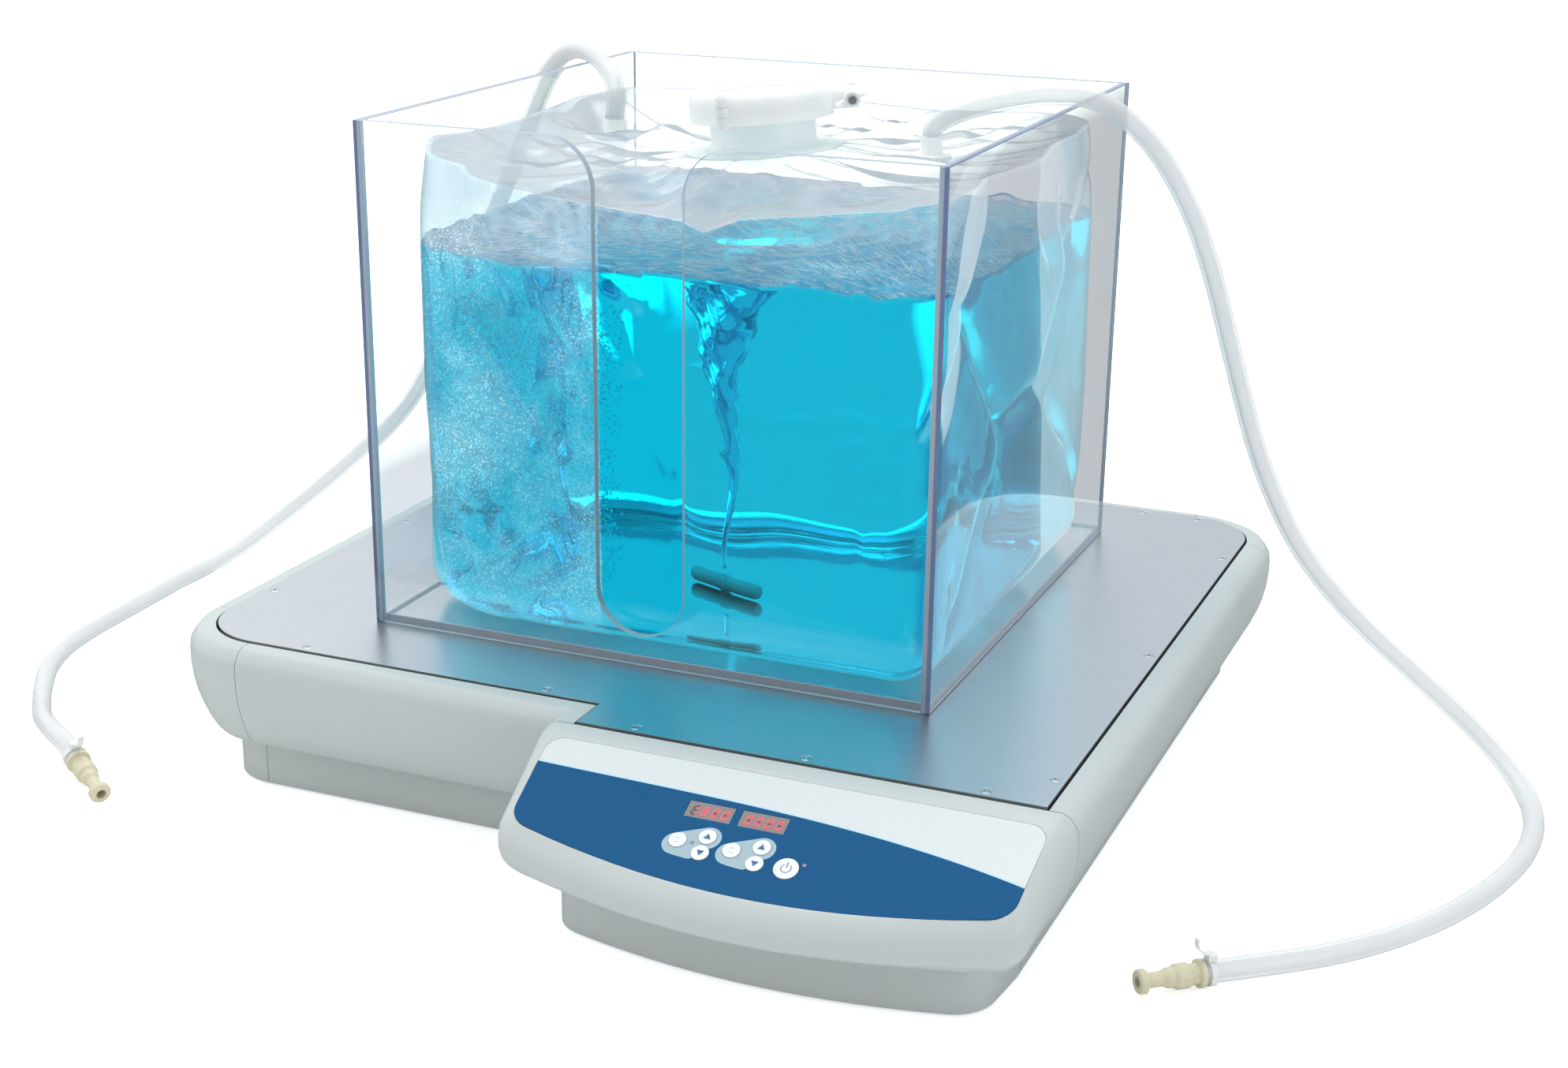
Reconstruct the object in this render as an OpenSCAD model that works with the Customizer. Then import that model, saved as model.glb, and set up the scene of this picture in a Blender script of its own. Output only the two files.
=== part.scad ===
// Large-volume magnetic stirrer: a flat drive base with a sloping control housing, an open
// acrylic holder and a hanging liquid bag with its port clamp, stir bar and two hoses.
// Millimetres, +Z up. The origin is on the bench, in the middle of the base's outline.

/* [Base] */
// Width of the steel top plate
plate_w = 535; // [505:5:565]
// Depth of the steel top plate, without its step
plate_d = 468; // [444:4:492]
// Thickness of the steel top plate
plate_t = 2; // [1.5:0.5:3]
// Corner radius of the steel top plate
plate_corner_r = 43; // [38:1:50]
// How far the right part of the plate steps forward
plate_step = 28; // [24:1:32]
// Where the step begins, to the right of the middle
step_x = 4.5; // [0:0.5:10]
// Height of the plate's top above the bench
plate_top_z = 96; // [92:1:104]
// How far the surround bulges beyond the plate
bulge = 17.5; // [15:0.5:20]
// Seam between the plate and the surround
plate_gap = 1.5; // [1:0.25:2]
// Seam between two mouldings
seam = 0.8; // [0.4:0.1:1.2]
// Wall of the mouldings
shell_t = 3; // [2.5:0.25:3.5]
// How far the surround's ledge lies below the plate's top
ledge_drop = 1; // [0.5:0.25:1.5]
// Height of the plinth
plinth_h = 31.5; // [28:0.5:35]
// How far the plinth stands inside the plate's edge
plinth_inset = 9; // [7:0.5:11]
// Height of the plinth's edge above the bench
foot_proud = 1.5; // [1:0.25:2.5]
// Radius of a rubber foot
foot_r = 14; // [10:1:18]
// Sheet thickness of the pan
pan_t = 2; // [1.5:0.25:2.5]

/* [Control housing] */
// Width of the housing
housing_w = 300; // [290:2:310]
// How far its nose reaches ahead of the plate
housing_reach = 96.5; // [92:0.5:100]
// Slope of its face
face_slope = 25; // [22:0.5:28]
// Radius of its bowed front in plan
nose_r = 430; // [400:10:500]
// Radius of its front corners in plan
nose_corner_r = 18; // [16:1:24]
// Inward taper of its sides
side_taper = 5.5; // [3:0.5:7]
// Width of the keypad label along its top edge
label_w = 278; // [268:2:280]
// Distance from the label's top edge to the lowest point of its bowed lower edge
label_h = 79.5; // [76:0.5:80]
// Thickness of the keypad label
label_t = 1; // [0.6:0.1:1.4]
// Radius of a small key
key_r = 4.7; // [4:0.1:5.2]
// Radius of the power key
power_key_r = 6.5; // [5.5:0.25:7]
// How far a key stands above the label
key_proud = 0.5; // [0.4:0.1:0.8]
// Travel of a key
key_travel = 0.4; // [0.3:0.05:0.45]
// Clearance around a key
key_gap = 0.25; // [0.2:0.05:0.35]
// Width of a display
display_w = 25.5; // [24:0.5:26]
// Height of a display
display_h = 10.5; // [9:0.5:11]

/* [Holder] */
// Width of the holder
tank_w = 350; // [330:5:370]
// Depth of the holder
tank_d = 350; // [330:5:370]
// Height of the holder
tank_h = 297.5; // [280:2.5:310]
// Thickness of the acrylic sheets
acrylic_t = 5; // [4:0.5:6]
// Width of the slot in the front sheet
slot_w = 54; // [44:1:64]
// Height of the slot's lowest point above the plate
slot_foot = 18; // [12:1:30]
// Radius of the rounded sheet corners beside the slot's mouth
slot_mouth_r = 28; // [16:1:36]

/* [Bag] */
// Thickness of the film
film_t = 0.5; // [0.3:0.1:0.8]
// Slack between the bag and the holder
bag_slack = 0.6; // [0.4:0.1:1]
// Height of the liquid above the plate
liquid_level = 226; // [150:2:236]
// Height of the bag's shoulder above the plate
bag_shoulder = 248; // [240:1:254]
// Height of the bag's top at the port above the plate
bag_top = 269; // [266:1:274]
// Radius of the bag's front left edge
bag_left_r = 72; // [50:2:90]
// Radius of the bag's back right edge, which hangs slack
bag_slack_r = 60; // [40:2:80]
// Radius of the bag's other upright edges
bag_r = 26; // [20:2:40]
// Radius of the bag's bottom edge
bag_bottom_r = 26; // [16:2:34]

/* [Port and clamp] */
// Radius of the port's clamping flange
ferrule_r = 38.75; // [36:0.25:41]
// Height of the joint between the port and its cap above the bag
port_h = 27; // [24:1:30]
// Lean of the port
port_tilt = 5; // [0:1:8]
// Radial thickness of the clamp over the flange
clamp_t = 4; // [3:0.25:5]
// Height of the clamp
clamp_h = 17; // [15:0.5:19]

/* [Stir bar] */
// Length of the stir bar
bar_l = 58; // [40:2:70]
// Radius of the stir bar
bar_r = 4.8; // [3.5:0.1:6]

/* [Hoses] */
// Outer radius of a hose
hose_r = 6; // [5:0.25:6]
// Inner radius of the connectors
connector_bore_r = 3; // [2:0.25:3.5]
// Length of a connector
connector_l = 36; // [30:1:44]

/* [Drive] */
// Radius of a drive coil
coil_r = 36; // [30:1:42]
// Radius of an iron core
core_r = 15; // [10:1:18]
// Distance of a coil from the middle of the drive
coil_ring_r = 74; // [66:1:90]

/* [Hidden] */

// Levels and plan lines of the base
overall_d = plate_d + bulge + plate_step + housing_reach;
plate_back_y = overall_d / 2 - bulge;
plate_front_y = plate_back_y - plate_d;
plate_mid_y = (plate_back_y + plate_front_y) / 2;
step_front_y = plate_front_y - plate_step;
plate_right_x = plate_w / 2;
plate_under_z = plate_top_z - plate_t;
ledge_z = plate_top_z - ledge_drop;
lip_z = foot_proud + plinth_h;
pan_z = foot_proud + shell_t;
pan_inset = plinth_inset + shell_t + 0.3;
flange_w = 14;
weld = 0.01;
corner_steps = 20;
side_x = plate_right_x - plate_corner_r;
side_y0 = plate_front_y + plate_corner_r;
side_y1 = plate_back_y - plate_corner_r;
half_seam = seam / 2;

// Section of the surround, as [distance inside its widest line, drop below the ledge] over the
// rim and [distance inside, share of the height left] down to the overhang's lip
rim_flat = 9.5;
RIM = [[rim_flat, 0], [5.5, 1.7], [2.3, 5.4], [0.6, 8.4], [0, 13]];
SIDE = [[0, 0.16], [0.9, 0.36], [2.6, 0.52], [4.8, 0.66], [8.4, 0.84], [11.4, 0.95], [13.5, 1]];

ledge_lip = 3;

// Plan of the control housing
housing_x = plate_right_x + bulge - housing_w / 2;
nose_y = -overall_d / 2;
housing_back_y = step_front_y - plate_gap;
brow = 4.5;
slope_y = housing_back_y - brow;
plinth_corner_r = 24;
plinth_step = bulge + plinth_inset;

// Keypad layout on the sloping face: across from the housing's middle, and down the slope
label_top_s = 8;
label_taper = 3;
label_bow = 20.5;
label_top_r = 10;
label_low_r = 14;
key_group_pitch = 29.8;
group_1_u = -27.7;
mode_key_du = -14.6;
key_row_s = 60;
key_pitch_s = 10.7;
power_key_u = 18.9;
power_key_s = 64.5;
display_1_u = -33.2;
display_s = 38.5;
led_r = 1.1;
led_1_u = -34.2;
led_2_u = 27;
stem_r = 2.6;
board_drop = 13;
board_t = 1.6;
board_w = 110;
board_h = 62;
board_top_s = 22;
post_r = 3;
post_in = 5;
switch_h = 4;
switch_w = 6;
stem_gap = 0.15;
stem_end = -board_drop + switch_h + key_travel + stem_gap;

// Keys as [across, down the slope, radius]
KEYS = [
  [group_1_u + mode_key_du, key_row_s, key_r],
  [group_1_u, key_row_s - key_pitch_s / 2, key_r],
  [group_1_u, key_row_s + key_pitch_s / 2, key_r],
  [group_1_u + key_group_pitch + mode_key_du, key_row_s, key_r],
  [group_1_u + key_group_pitch, key_row_s - key_pitch_s / 2, key_r],
  [group_1_u + key_group_pitch, key_row_s + key_pitch_s / 2, key_r],
  [power_key_u, power_key_s, power_key_r]
];
DISPLAYS = [display_1_u, display_1_u + key_group_pitch];
LEDS = [led_1_u, led_2_u];

// Screws of the plate: how far they stand in from an edge, and from the two ends of that edge
screw_inset = 6;
plate_screw_r = 1.5;
side_screw_end = 80;
front_screw_end = 78.5;
back_screw_end = 77.5;
step_screw_left = 36.5;
step_screw_right = 32.5;
corner_screw_x = 33.5;
corner_screw_y = 34.5;
back_corner_screw = 39.5;
right_screws_y = [step_front_y + corner_screw_y, plate_back_y - side_screw_end];
step_screws_x = [step_x + step_screw_right, plate_right_x - corner_screw_x];
back_screw_x = plate_right_x - back_screw_end;
PLATE_SCREWS = [
  for (y = [plate_front_y + side_screw_end, plate_mid_y, plate_back_y - side_screw_end])
    [screw_inset - plate_right_x, y],
  for (y = [right_screws_y[0], (right_screws_y[0] + right_screws_y[1]) / 2, right_screws_y[1]])
    [plate_right_x - screw_inset, y],
  for (x = [front_screw_end - plate_right_x, step_x - step_screw_left])
    [x, plate_front_y + screw_inset],
  for (x = [step_screws_x[0], (step_screws_x[0] + step_screws_x[1]) / 2, step_screws_x[1]])
    [x, step_front_y + screw_inset],
  for (x = [-back_screw_x, 0, back_screw_x, plate_right_x - back_corner_screw])
    [x, plate_back_y - screw_inset]
];

// Screws of the base, through the mouldings' flanges and the housing's tongues
base_screw_r = 1.9;
side_base_screw = 115;
back_base_screw = 110;
front_base_screw = 107.5;
step_base_screw = 54.5;
tongue_w = 40;
tongue_l = 28;
tongue_root = 5;
tongue_screw = 7;
tongue_left = 70;
tongue_right = 30;
TONGUES = [housing_x - tongue_left, housing_x + tongue_right];
under_x = plate_right_x - plinth_inset - shell_t - flange_w / 2;
under_front_y = plate_front_y + plinth_inset + shell_t + flange_w / 2;
under_back_y = plate_back_y - plinth_inset - shell_t - flange_w / 2;
BASE_SCREWS = [
  for (x = [-under_x, under_x]) for (y = [-side_base_screw, side_base_screw]) [x, plate_mid_y + y],
  for (x = [-back_base_screw, back_base_screw]) [x, under_back_y],
  for (x = [front_base_screw - plate_right_x, step_x - step_base_screw]) [x, under_front_y],
  for (p = [[-1, -1, side_y0], [-1, 1, side_y1], [1, 1, side_y1]])
    [p.x * (side_x + (under_x - side_x) * sin(45)), p.z + p.y * (under_x - side_x) * sin(45)],
  for (x = TONGUES) [x + tongue_w / 2, housing_back_y + tongue_l - tongue_screw]
];

// Rubber feet: one near each corner of the pan and one behind the housing
foot_in_x = 72.5;
foot_in_front = 75.5;
foot_in_back = 52.5;
middle_foot_y = 30;
FEET = [
  for (x = [foot_in_x - plate_right_x, plate_right_x - foot_in_x])
    for (y = [plate_front_y + foot_in_front, plate_back_y - foot_in_back]) [x, y],
  [housing_x, step_front_y + middle_foot_y]
];

// Magnetic drive
drive_z = pan_z + pan_t;
yoke_t = 10;
yoke_edge = 4;
core_air = 0.5;
coil_head = 12;

// Power supply on the pan, clear of the walls and of the inlet's body
supply_w = 110;
supply_d = 90;
supply_h = 40;
supply_gap = 13.5;

// Power inlet in the back of the plinth: its body, rim, socket and pins
inlet_x = -180;
inlet_rim = 2.5;
inlet_rim_t = 2;
socket_w = 24;
socket_h = 16;
socket_depth = 14;
contact_w = 2;
contact_h = 4;
contact_l = 11.5;
CONTACTS = [[-7, -2], [0, 2.5], [7, -2]];
inlet_w = 27;
inlet_h = 19.5;
inlet_z = foot_proud + plinth_h / 2;
inlet_depth = 25;

// Holder and bag
tank_z = plate_top_z;
tank_front_y = plate_mid_y - tank_d / 2;
tank_back_y = plate_mid_y + tank_d / 2;
inner_w = tank_w - 2 * acrylic_t;
inner_d = tank_d - 2 * acrylic_t;
bag_z = tank_z + acrylic_t + 0.3;
liquid_gap = 0.2;
port_z = tank_z + bag_top;
port_pad_r = 50;
collar_h = 12;
bar_ring = 0.9;
bar_ring_w = 6;
bar_ring_foot = 1;
bar_z = bag_z + film_t + 0.3 + bar_r + bar_ring;
bar_turn = -20;
pool_r = bar_l / 2 + 3;
pool_top = bar_z + bar_r + 4;
vortex_r = 34;

// Port, gasket and cap
tube_r = 31.5;
tube_bore_r = 29;
gasket_t = 1.4;
rim_t = 2.5;
rim_bevel = 0.526;
pad_rim = 3;
pad_t = 1;
pad_rise = 0.6;
neck_fillet = 2;
neck_foot_z = 4;
jaw_reach = 4.25;
jaw_gap = 0.3;
cap_floor_t = 3;
cap_lip_w = 3;
cap_lip_step = 2;

// Three-part clamp: its hinges and its closure stand a third of a turn apart
hinge_1 = -97;
hinge_2 = 143;
closure = 23;
clamp_r = ferrule_r + clamp_t;
knuckle_r = 4;
knuckle_h = clamp_h / 2 + 1;
knuckle_split = 3;
pin_r = 1.6;
pin_gap = 0.05;
hinge_r = clamp_r + 3.4;
closure_half = 3.5;
lug_t = 5;
lug_gap = 2.5;
lug_w = 12;
bolt_ring_r = clamp_r + 10.75;
bolt_r = 2.4;
bolt_l = 34;
bolt_slot = 2 * bolt_r + 0.6;
lug_end_r = bolt_ring_r + 4;
lug_root = 3;
knuckle_gap = 0.3;
pivot_t = lug_gap + lug_t + 3.2;
pivot_r = 2.9;
nut_z = pivot_t + lug_gap + lug_t + 0.6;
nut_h = 8;
wing_r = 10.5;
nut_r = 5;
wing_t = 2.6;
wing_turn = 20;
WING = [[3, 0], [8, 2.5], [wing_r, 6], [wing_r - 0.6, 10], [wing_r - 3, 11], [5, 8], [3, 7]];

// Hose ports on the bag, as [x, y, height of the film]
LEFT_PORT = [-128, 110, 354];
RIGHT_PORT = [97, 77, 363.5];
port_flange_r = 12;
port_flange_t = 2;
port_stem_h = 10;
port_stem_t = 0.6;

// Routes of the hoses' middle lines, from the ports over the holder's edge to the bench
stem_top = [0, 0, port_flange_t + port_stem_h];
LEFT_ROUTE = [
  LEFT_PORT + stem_top, [-128, 112, 378], [-134, 121, 389], [-146, 133, 396], [-159, 145, 400],
  [-173, 157, 401.5], [-187, 168, 400], [-203, 179, 393], [-218, 187, 379], [-232, 194, 358],
  [-248, 201, 328], [-270, 207, 286], [-294, 212, 241], [-321, 215, 187], [-349, 216, 138],
  [-375, 215, 107], [-402, 210, 81], [-431, 200, 54], [-458, 186, 30], [-476, 163, 13],
  [-484, 132, 6.4], [-484, 96, 6.2], [-482, 60, 6.2], [-480, 24, 6.2], [-478, -12, 6.2],
  [-472, -48, 6.2], [-459, -82, 6.2], [-440, -112, 6.4], [-417, -142, 9], [-391, -172, 15],
  [-366, -194, 20], [-343, -210, 21.5], [-326, -220, 17]
];
RIGHT_ROUTE = [
  RIGHT_PORT + stem_top, [98.5, 77.5, 381.5], [107, 79, 387.5], [120, 82, 393], [137, 87, 397.5],
  [155, 92, 400.8], [173, 98, 401.6], [190, 102, 398.5], [206, 107, 388.5], [221, 111, 374],
  [235, 115, 354], [248, 119, 329], [260, 124, 296], [270, 128, 262], [281, 132, 225],
  [291, 134, 195], [303, 137, 166], [320, 140, 135], [341, 142, 109], [365, 144, 86],
  [390, 145, 66], [415, 145, 47], [437, 141, 31], [457, 131, 17], [472, 111, 8],
  [480, 82, 6.2], [482, 50, 6.2], [478, 14, 6.2], [467, -26, 6.2], [450, -66, 6.2],
  [428, -102, 6.2], [403, -132, 6.4], [376, -157, 7], [346, -183, 7.9]
];
hose_sides = 12;

// Cable ties: band, head and bent tail
tie_w = 3.6;
tie_t = 1.2;
tie_gap = 0.1;
tie_back = 6;
tie_head = 6;
tie_head_l = 4.8;
tie_reach = 12;
tie_bend_r = 8;
LEFT_AIM = [29, -17, -9];
RIGHT_AIM = [-30, -25, 0];

// Colours of the mouldings and films
grey = [0.76, 0.80, 0.79];
clear = [0.86, 0.93, 0.97, 0.35];
milky = [0.93, 0.94, 0.93, 0.8];
water = [0.0, 0.70, 0.88, 0.7];
white = [0.95, 0.95, 0.94];

function mix(a, b, t) = a + (b - a) * t;
function unit(v) = v / norm(v);
function mirrored(pts) = [for (i = [len(pts) - 1 : -1 : 0]) [-pts[i].x, pts[i].y]];

// A path with its corners rounded: each corner is [x, y, radius]
function corner_arc(a, v, b, r, n) =
  let (u = unit(a - v), w = unit(b - v), half = acos(u * w) / 2)
  let (c = v + unit(u + w) * r / sin(half))
  let (s = v + u * r / tan(half) - c, e = v + w * r / tan(half) - c, turn = 180 - 2 * half)
  [for (i = [0 : n]) c + (s * sin(turn * (1 - i / n)) + e * sin(turn * i / n)) / sin(turn)];
function xy(p) = [p.x, p.y];
function rounded(path, n) = [
  for (i = [0 : len(path) - 1])
    let (v = path[i], a = path[(i + len(path) - 1) % len(path)], b = path[(i + 1) % len(path)])
    each (v.z == 0 ? [xy(v)] : corner_arc(xy(a), xy(v), xy(b), v.z, n))
];

// Outline of the top plate, pulled in by some distance
function plate_outline(inset) =
  let (r = plate_corner_r - inset, x = plate_right_x - inset, y = plate_back_y - inset)
  rounded([
    [-x, plate_front_y + inset, r], [step_x + inset, plate_front_y + inset, 0],
    [step_x + inset, step_front_y + inset, 0], [x, step_front_y + inset, 0],
    [x, y, r], [-x, y, r]
  ], corner_steps);

// Section of the surround under a ledge at some level, as [distance inside, height]
function shell_section(top) = concat(
  [for (p = RIM) [p.x, top - p.y]],
  [for (p = SIDE) [p.x, mix(top - RIM[len(RIM) - 1].y, lip_z, p.y)]]
);

// Half plan of a bowed front, from its back to the middle of its nose, as [x, y, normal x, y]
function bowed_half(half_w, back, start, nose, corner_r) =
  let (d = [-sin(side_taper), -cos(side_taper)], n = [cos(side_taper), -sin(side_taper)])
  let (bow_r = nose_r - (nose - nose_y), bow_c = [0, nose + bow_r])
  let (q = [half_w, start] - corner_r * n - bow_c, far = bow_r - corner_r)
  let (t = -q * d + sqrt((q * d) * (q * d) - (q * q - far * far)))
  let (c = q + t * d + bow_c, a0 = -side_taper, a1 = atan2(c.y - bow_c.y, c.x - bow_c.x))
  concat(
    [[half_w, back, 1, 0], [half_w, start, 1, 0]],
    [for (i = [1 : 3]) let (p = [half_w, start] + d * t * i / 4) [p.x, p.y, n.x, n.y]],
    [for (i = [0 : 7]) let (a = mix(a0, a1, i / 7), v = [cos(a), sin(a)])
      [c.x + corner_r * v.x, c.y + corner_r * v.y, v.x, v.y]],
    [for (i = [1 : 8]) let (a = mix(a1, -90, (i - 0.5 * i / 8) / 8), v = [cos(a), sin(a)])
      [bow_c.x + bow_r * v.x, bow_c.y + bow_r * v.y, v.x, v.y]]
  );
function bowed_outline(half_w, back, start, nose, corner_r) =
  let (half = bowed_half(half_w, back, start, nose, corner_r))
  let (pts = [for (s = half) [s.x, s.y]])
  concat(pts, mirrored(pts));

// Level of the housing's top over a line across it
function face_z(y) = ledge_z - max(0, slope_y - y) * tan(face_slope);

// Solid through rings with the same number of points; its first cap can be given when it isn't flat
module loft(rings, first_cap = []) {
  m = len(rings[0]);
  last = len(rings) - 1;
  walls = [
    for (k = [0 : last - 1]) for (i = [0 : m - 1])
      let (a = k * m + i, b = k * m + (i + 1) % m)
      each [[a, b + m, b], [a, a + m, b + m]]
  ];
  first = len(first_cap) > 0 ? first_cap : [[for (i = [0 : m - 1]) i]];
  end = [[for (i = [m - 1 : -1 : 0]) last * m + i]];
  polyhedron([for (r = rings) each r], concat(walls, first, end), convexity = 10);
}

// Upper body of the housing, lofted through rings that follow the surround's section
module housing_loft(wall) {
  half = bowed_half(housing_w / 2, plate_front_y - plate_gap, slope_y, nose_y, nose_corner_r);
  section = [for (i = [0 : len(RIM) + len(SIDE) - 1]) shell_section(ledge_z)[i].x];
  n = len(half);
  rings = [
    for (k = [0 : len(section) - 1])
      let (side = [
        for (s = half)
          let (x = s.x - (section[k] + wall) * s[2], y = s.y - (section[k] + wall) * s[3])
          let (fallen = (face_z(y) - shell_section(face_z(y))[k].y) / (face_z(y) - lip_z))
          [x, y, mix(face_z(y) - wall / cos(face_slope), lip_z + wall, fallen)]
      ])
      concat(side, [for (i = [n - 1 : -1 : 0]) [-side[i].x, side[i].y, side[i].z]])
  ];
  m = 2 * n;
  folded_top = [for (i = [0 : n - 2]) each [[i, m - 2 - i, m - 1 - i], [i, i + 1, m - 2 - i]]];
  translate([housing_x, 0, 0]) loft(rings, folded_top);
}

// Region of the bench plan ahead of a line, as a cutting block
module ahead_of(y) {
  reach = overall_d;
  translate([-overall_d, y - reach, -1]) cube([2 * overall_d, reach, plate_top_z + 2]);
}

// Plinth under the housing
module housing_plinth(wall) {
  outline = bowed_outline(housing_w / 2 - plinth_step - wall, plate_front_y + plinth_inset, slope_y,
    nose_y + plinth_step + wall, plinth_corner_r - wall);
  translate([housing_x, 0, foot_proud])
    linear_extrude(plinth_h + 0.5)
    polygon(outline);
}

// Section of a surround moulding: x outward from the plate's edge, y up
module rail_section() {
  outer = [for (p = shell_section(ledge_z)) [bulge - p.x, p.y]];
  inner = [
    for (p = shell_section(ledge_z))
      [bulge - p.x - shell_t, min(max(p.y, lip_z + shell_t), ledge_z - shell_t)]
  ];
  back = -plinth_inset - shell_t;
  polygon(concat(
    [[plate_gap, ledge_z - shell_t - ledge_lip], [plate_gap, ledge_z]],
    outer,
    [[-plinth_inset, lip_z], [-plinth_inset, foot_proud], [back - flange_w, foot_proud],
      [back - flange_w, pan_z], [back, pan_z], [back, lip_z + shell_t]],
    [for (i = [len(inner) - 1 : -1 : 1]) inner[i]],
    [[plate_gap + shell_t, ledge_z - shell_t], [plate_gap + shell_t, ledge_z - shell_t - ledge_lip]]
  ));
}

// A straight moulding that runs back along +Y from some place, facing +X
module rail_run(length) {
  rotate([90, 0, 180]) mirror([1, 0, 0])
    linear_extrude(length)
    rail_section();
}

module rail_corner() {
  rotate_extrude(angle = 90, $fn = 96)
    translate([plate_corner_r, 0]) rail_section();
}

// Holes for the base screws, with flat seats for their heads
module base_screw_holes() {
  for (p = BASE_SCREWS) translate([p.x, p.y, 0]) {
    cylinder(r = base_screw_r + 0.2, h = pan_z + pan_t + 1, $fn = 24);
    cylinder(r = 2 * base_screw_r + 0.2, h = pan_z - 1, $fn = 32);
  }
}

module left_rail() {
  color(grey)
    difference() {
      translate([-plate_right_x, side_y0 + half_seam, 0])
        mirror([1, 0, 0]) rail_run(side_y1 - side_y0 - seam);
      base_screw_holes();
    }
}

module right_rail() {
  color(grey)
    difference() {
      translate([plate_right_x, housing_back_y + half_seam, 0])
        rail_run(side_y1 - housing_back_y - seam);
      base_screw_holes();
    }
}

module back_rail() {
  color(grey)
    difference() {
      translate([side_x - half_seam, plate_back_y, 0])
        rotate([0, 0, 90]) rail_run(2 * side_x - seam);
      inlet_block(0.2);
      base_screw_holes();
    }
}

// The front moulding turns forward at its right end and meets the housing
module front_rail() {
  end_x = step_x - plate_gap;
  plinth_x = housing_x - housing_w / 2 + plinth_step;
  front = housing_back_y + half_seam;
  back = plate_front_y + plinth_inset;
  color(grey) difference() {
    union() {
      translate([-side_x + half_seam, plate_front_y, 0])
        rotate([0, 0, -90]) rail_run(side_x + end_x - half_seam);
      intersection() {
        housing_loft(0);
        translate([-housing_w, front, 0])
          cube([housing_w + end_x, plate_front_y - plate_gap - front, ledge_z]);
      }
      difference() {
        translate([end_x - 1, front, foot_proud])
          cube([plinth_x + shell_t - end_x + 1, back - front, plinth_h + shell_t]);
        translate([end_x - 2, front - 1, 0])
          cube([plinth_x - end_x + 2, back - shell_t - front + 1, lip_z]);
      }
    }
    base_screw_holes();
  }
}

module placed_corner(x, y, turn) {
  color(grey)
    difference() {
      translate([x, y, 0]) rotate([0, 0, turn]) rail_corner();
      base_screw_holes();
    }
}

module corner_front_left() { placed_corner(-side_x, side_y0, 180); }
module corner_back_left() { placed_corner(-side_x, side_y1, 90); }
module corner_back_right() { placed_corner(side_x, side_y1, 0); }

// Frame of the sloping face: x across, y up the slope, z out of the face
module on_face() {
  translate([housing_x, slope_y, ledge_z]) rotate([face_slope, 0, 0]) children();
}

// Outline of the label on the face, grown by some distance
function label_outline(grow) =
  let (x0 = label_w / 2 + grow, x1 = label_w / 2 - label_taper + grow)
  let (y0 = -label_top_s + grow, y1 = -(label_top_s + label_h - label_bow) - grow)
  let (r = (x1 * x1 + label_bow * label_bow) / (2 * label_bow), a = asin(x1 / r))
  let (bow = [for (i = [1 : 19]) let (t = mix(-a, a, i / 20)) [r * sin(t), y1 - label_bow + r - r * cos(t), 0]])
  rounded(concat([[x0, y0, label_top_r], [-x0, y0, label_top_r], [-x1, y1, label_low_r]], bow,
    [[x1, y1, label_low_r]]), 6);

module display_cut(depth, grow) {
  for (u = DISPLAYS)
    translate([u - display_w / 2 - grow, -display_s - display_h / 2 - grow, -depth])
      cube([display_w + 2 * grow, display_h + 2 * grow, depth + 5]);
}

module control_housing() {
  color(grey)
    difference() {
      union() {
        intersection() {
          union() {
            difference() {
              housing_loft(0);
              housing_loft(shell_t);
            }
            difference() {
              housing_plinth(0);
              translate([0, 0, shell_t]) housing_plinth(shell_t);
            }
          }
          ahead_of(housing_back_y - half_seam);
        }
        for (x = TONGUES)
          translate([x, housing_back_y - half_seam - tongue_root, foot_proud])
            cube([tongue_w, tongue_l + tongue_root, shell_t]);
      }
      on_face() {
        translate([0, 0, -label_t]) linear_extrude(5) polygon(label_outline(0.2));
        for (k = KEYS) translate([k.x, -k.y, -10]) cylinder(r = stem_r + 0.3, h = 20, $fn = 32);
        display_cut(10, 0.2);
        for (u = LEDS) translate([u, -key_row_s, -10]) cylinder(r = led_r + 0.2, h = 20, $fn = 24);
      }
      base_screw_holes();
    }
}

module keypad_label() {
  color(white)
    on_face()
    difference() {
      translate([0, 0, -label_t]) linear_extrude(label_t) polygon(label_outline(0));
      for (k = KEYS) translate([k.x, -k.y, -2]) cylinder(r = k.z + key_gap, h = 4, $fn = 48);
      display_cut(5, 0.2);
      for (u = LEDS) translate([u, -key_row_s, -2]) cylinder(r = led_r + 0.1, h = 4, $fn = 24);
    }
}

// One key: a cap in the label's hole on a stem that reaches down to its switch
module key(i) {
  k = KEYS[i];
  color(white)
    on_face()
    translate([k.x, -k.y, 0]) {
      translate([0, 0, -label_t + key_travel + 0.2])
        cylinder(r = k.z, h = label_t + key_proud - key_travel - 0.2, $fn = 48);
      translate([0, 0, stem_end]) cylinder(r = stem_r, h = -stem_end - label_t + key_travel + 0.3, $fn = 32);
    }
}

module speed_mode_key() { key(0); }
module speed_up_key() { key(1); }
module speed_down_key() { key(2); }
module time_mode_key() { key(3); }
module time_up_key() { key(4); }
module time_down_key() { key(5); }
module power_key() { key(6); }

module display(u) {
  color([0.08, 0.02, 0.03])
    on_face()
    translate([u - display_w / 2, -display_s - display_h / 2, -board_drop])
      cube([display_w, display_h, board_drop - 0.2]);
}

module speed_display() { display(DISPLAYS[0]); }
module time_display() { display(DISPLAYS[1]); }

module status_leds() {
  color([0.3, 0.5, 0.6])
    on_face()
    for (u = LEDS) translate([u, -key_row_s, -board_drop]) cylinder(r = led_r, h = board_drop - 0.1, $fn = 24);
}

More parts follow.
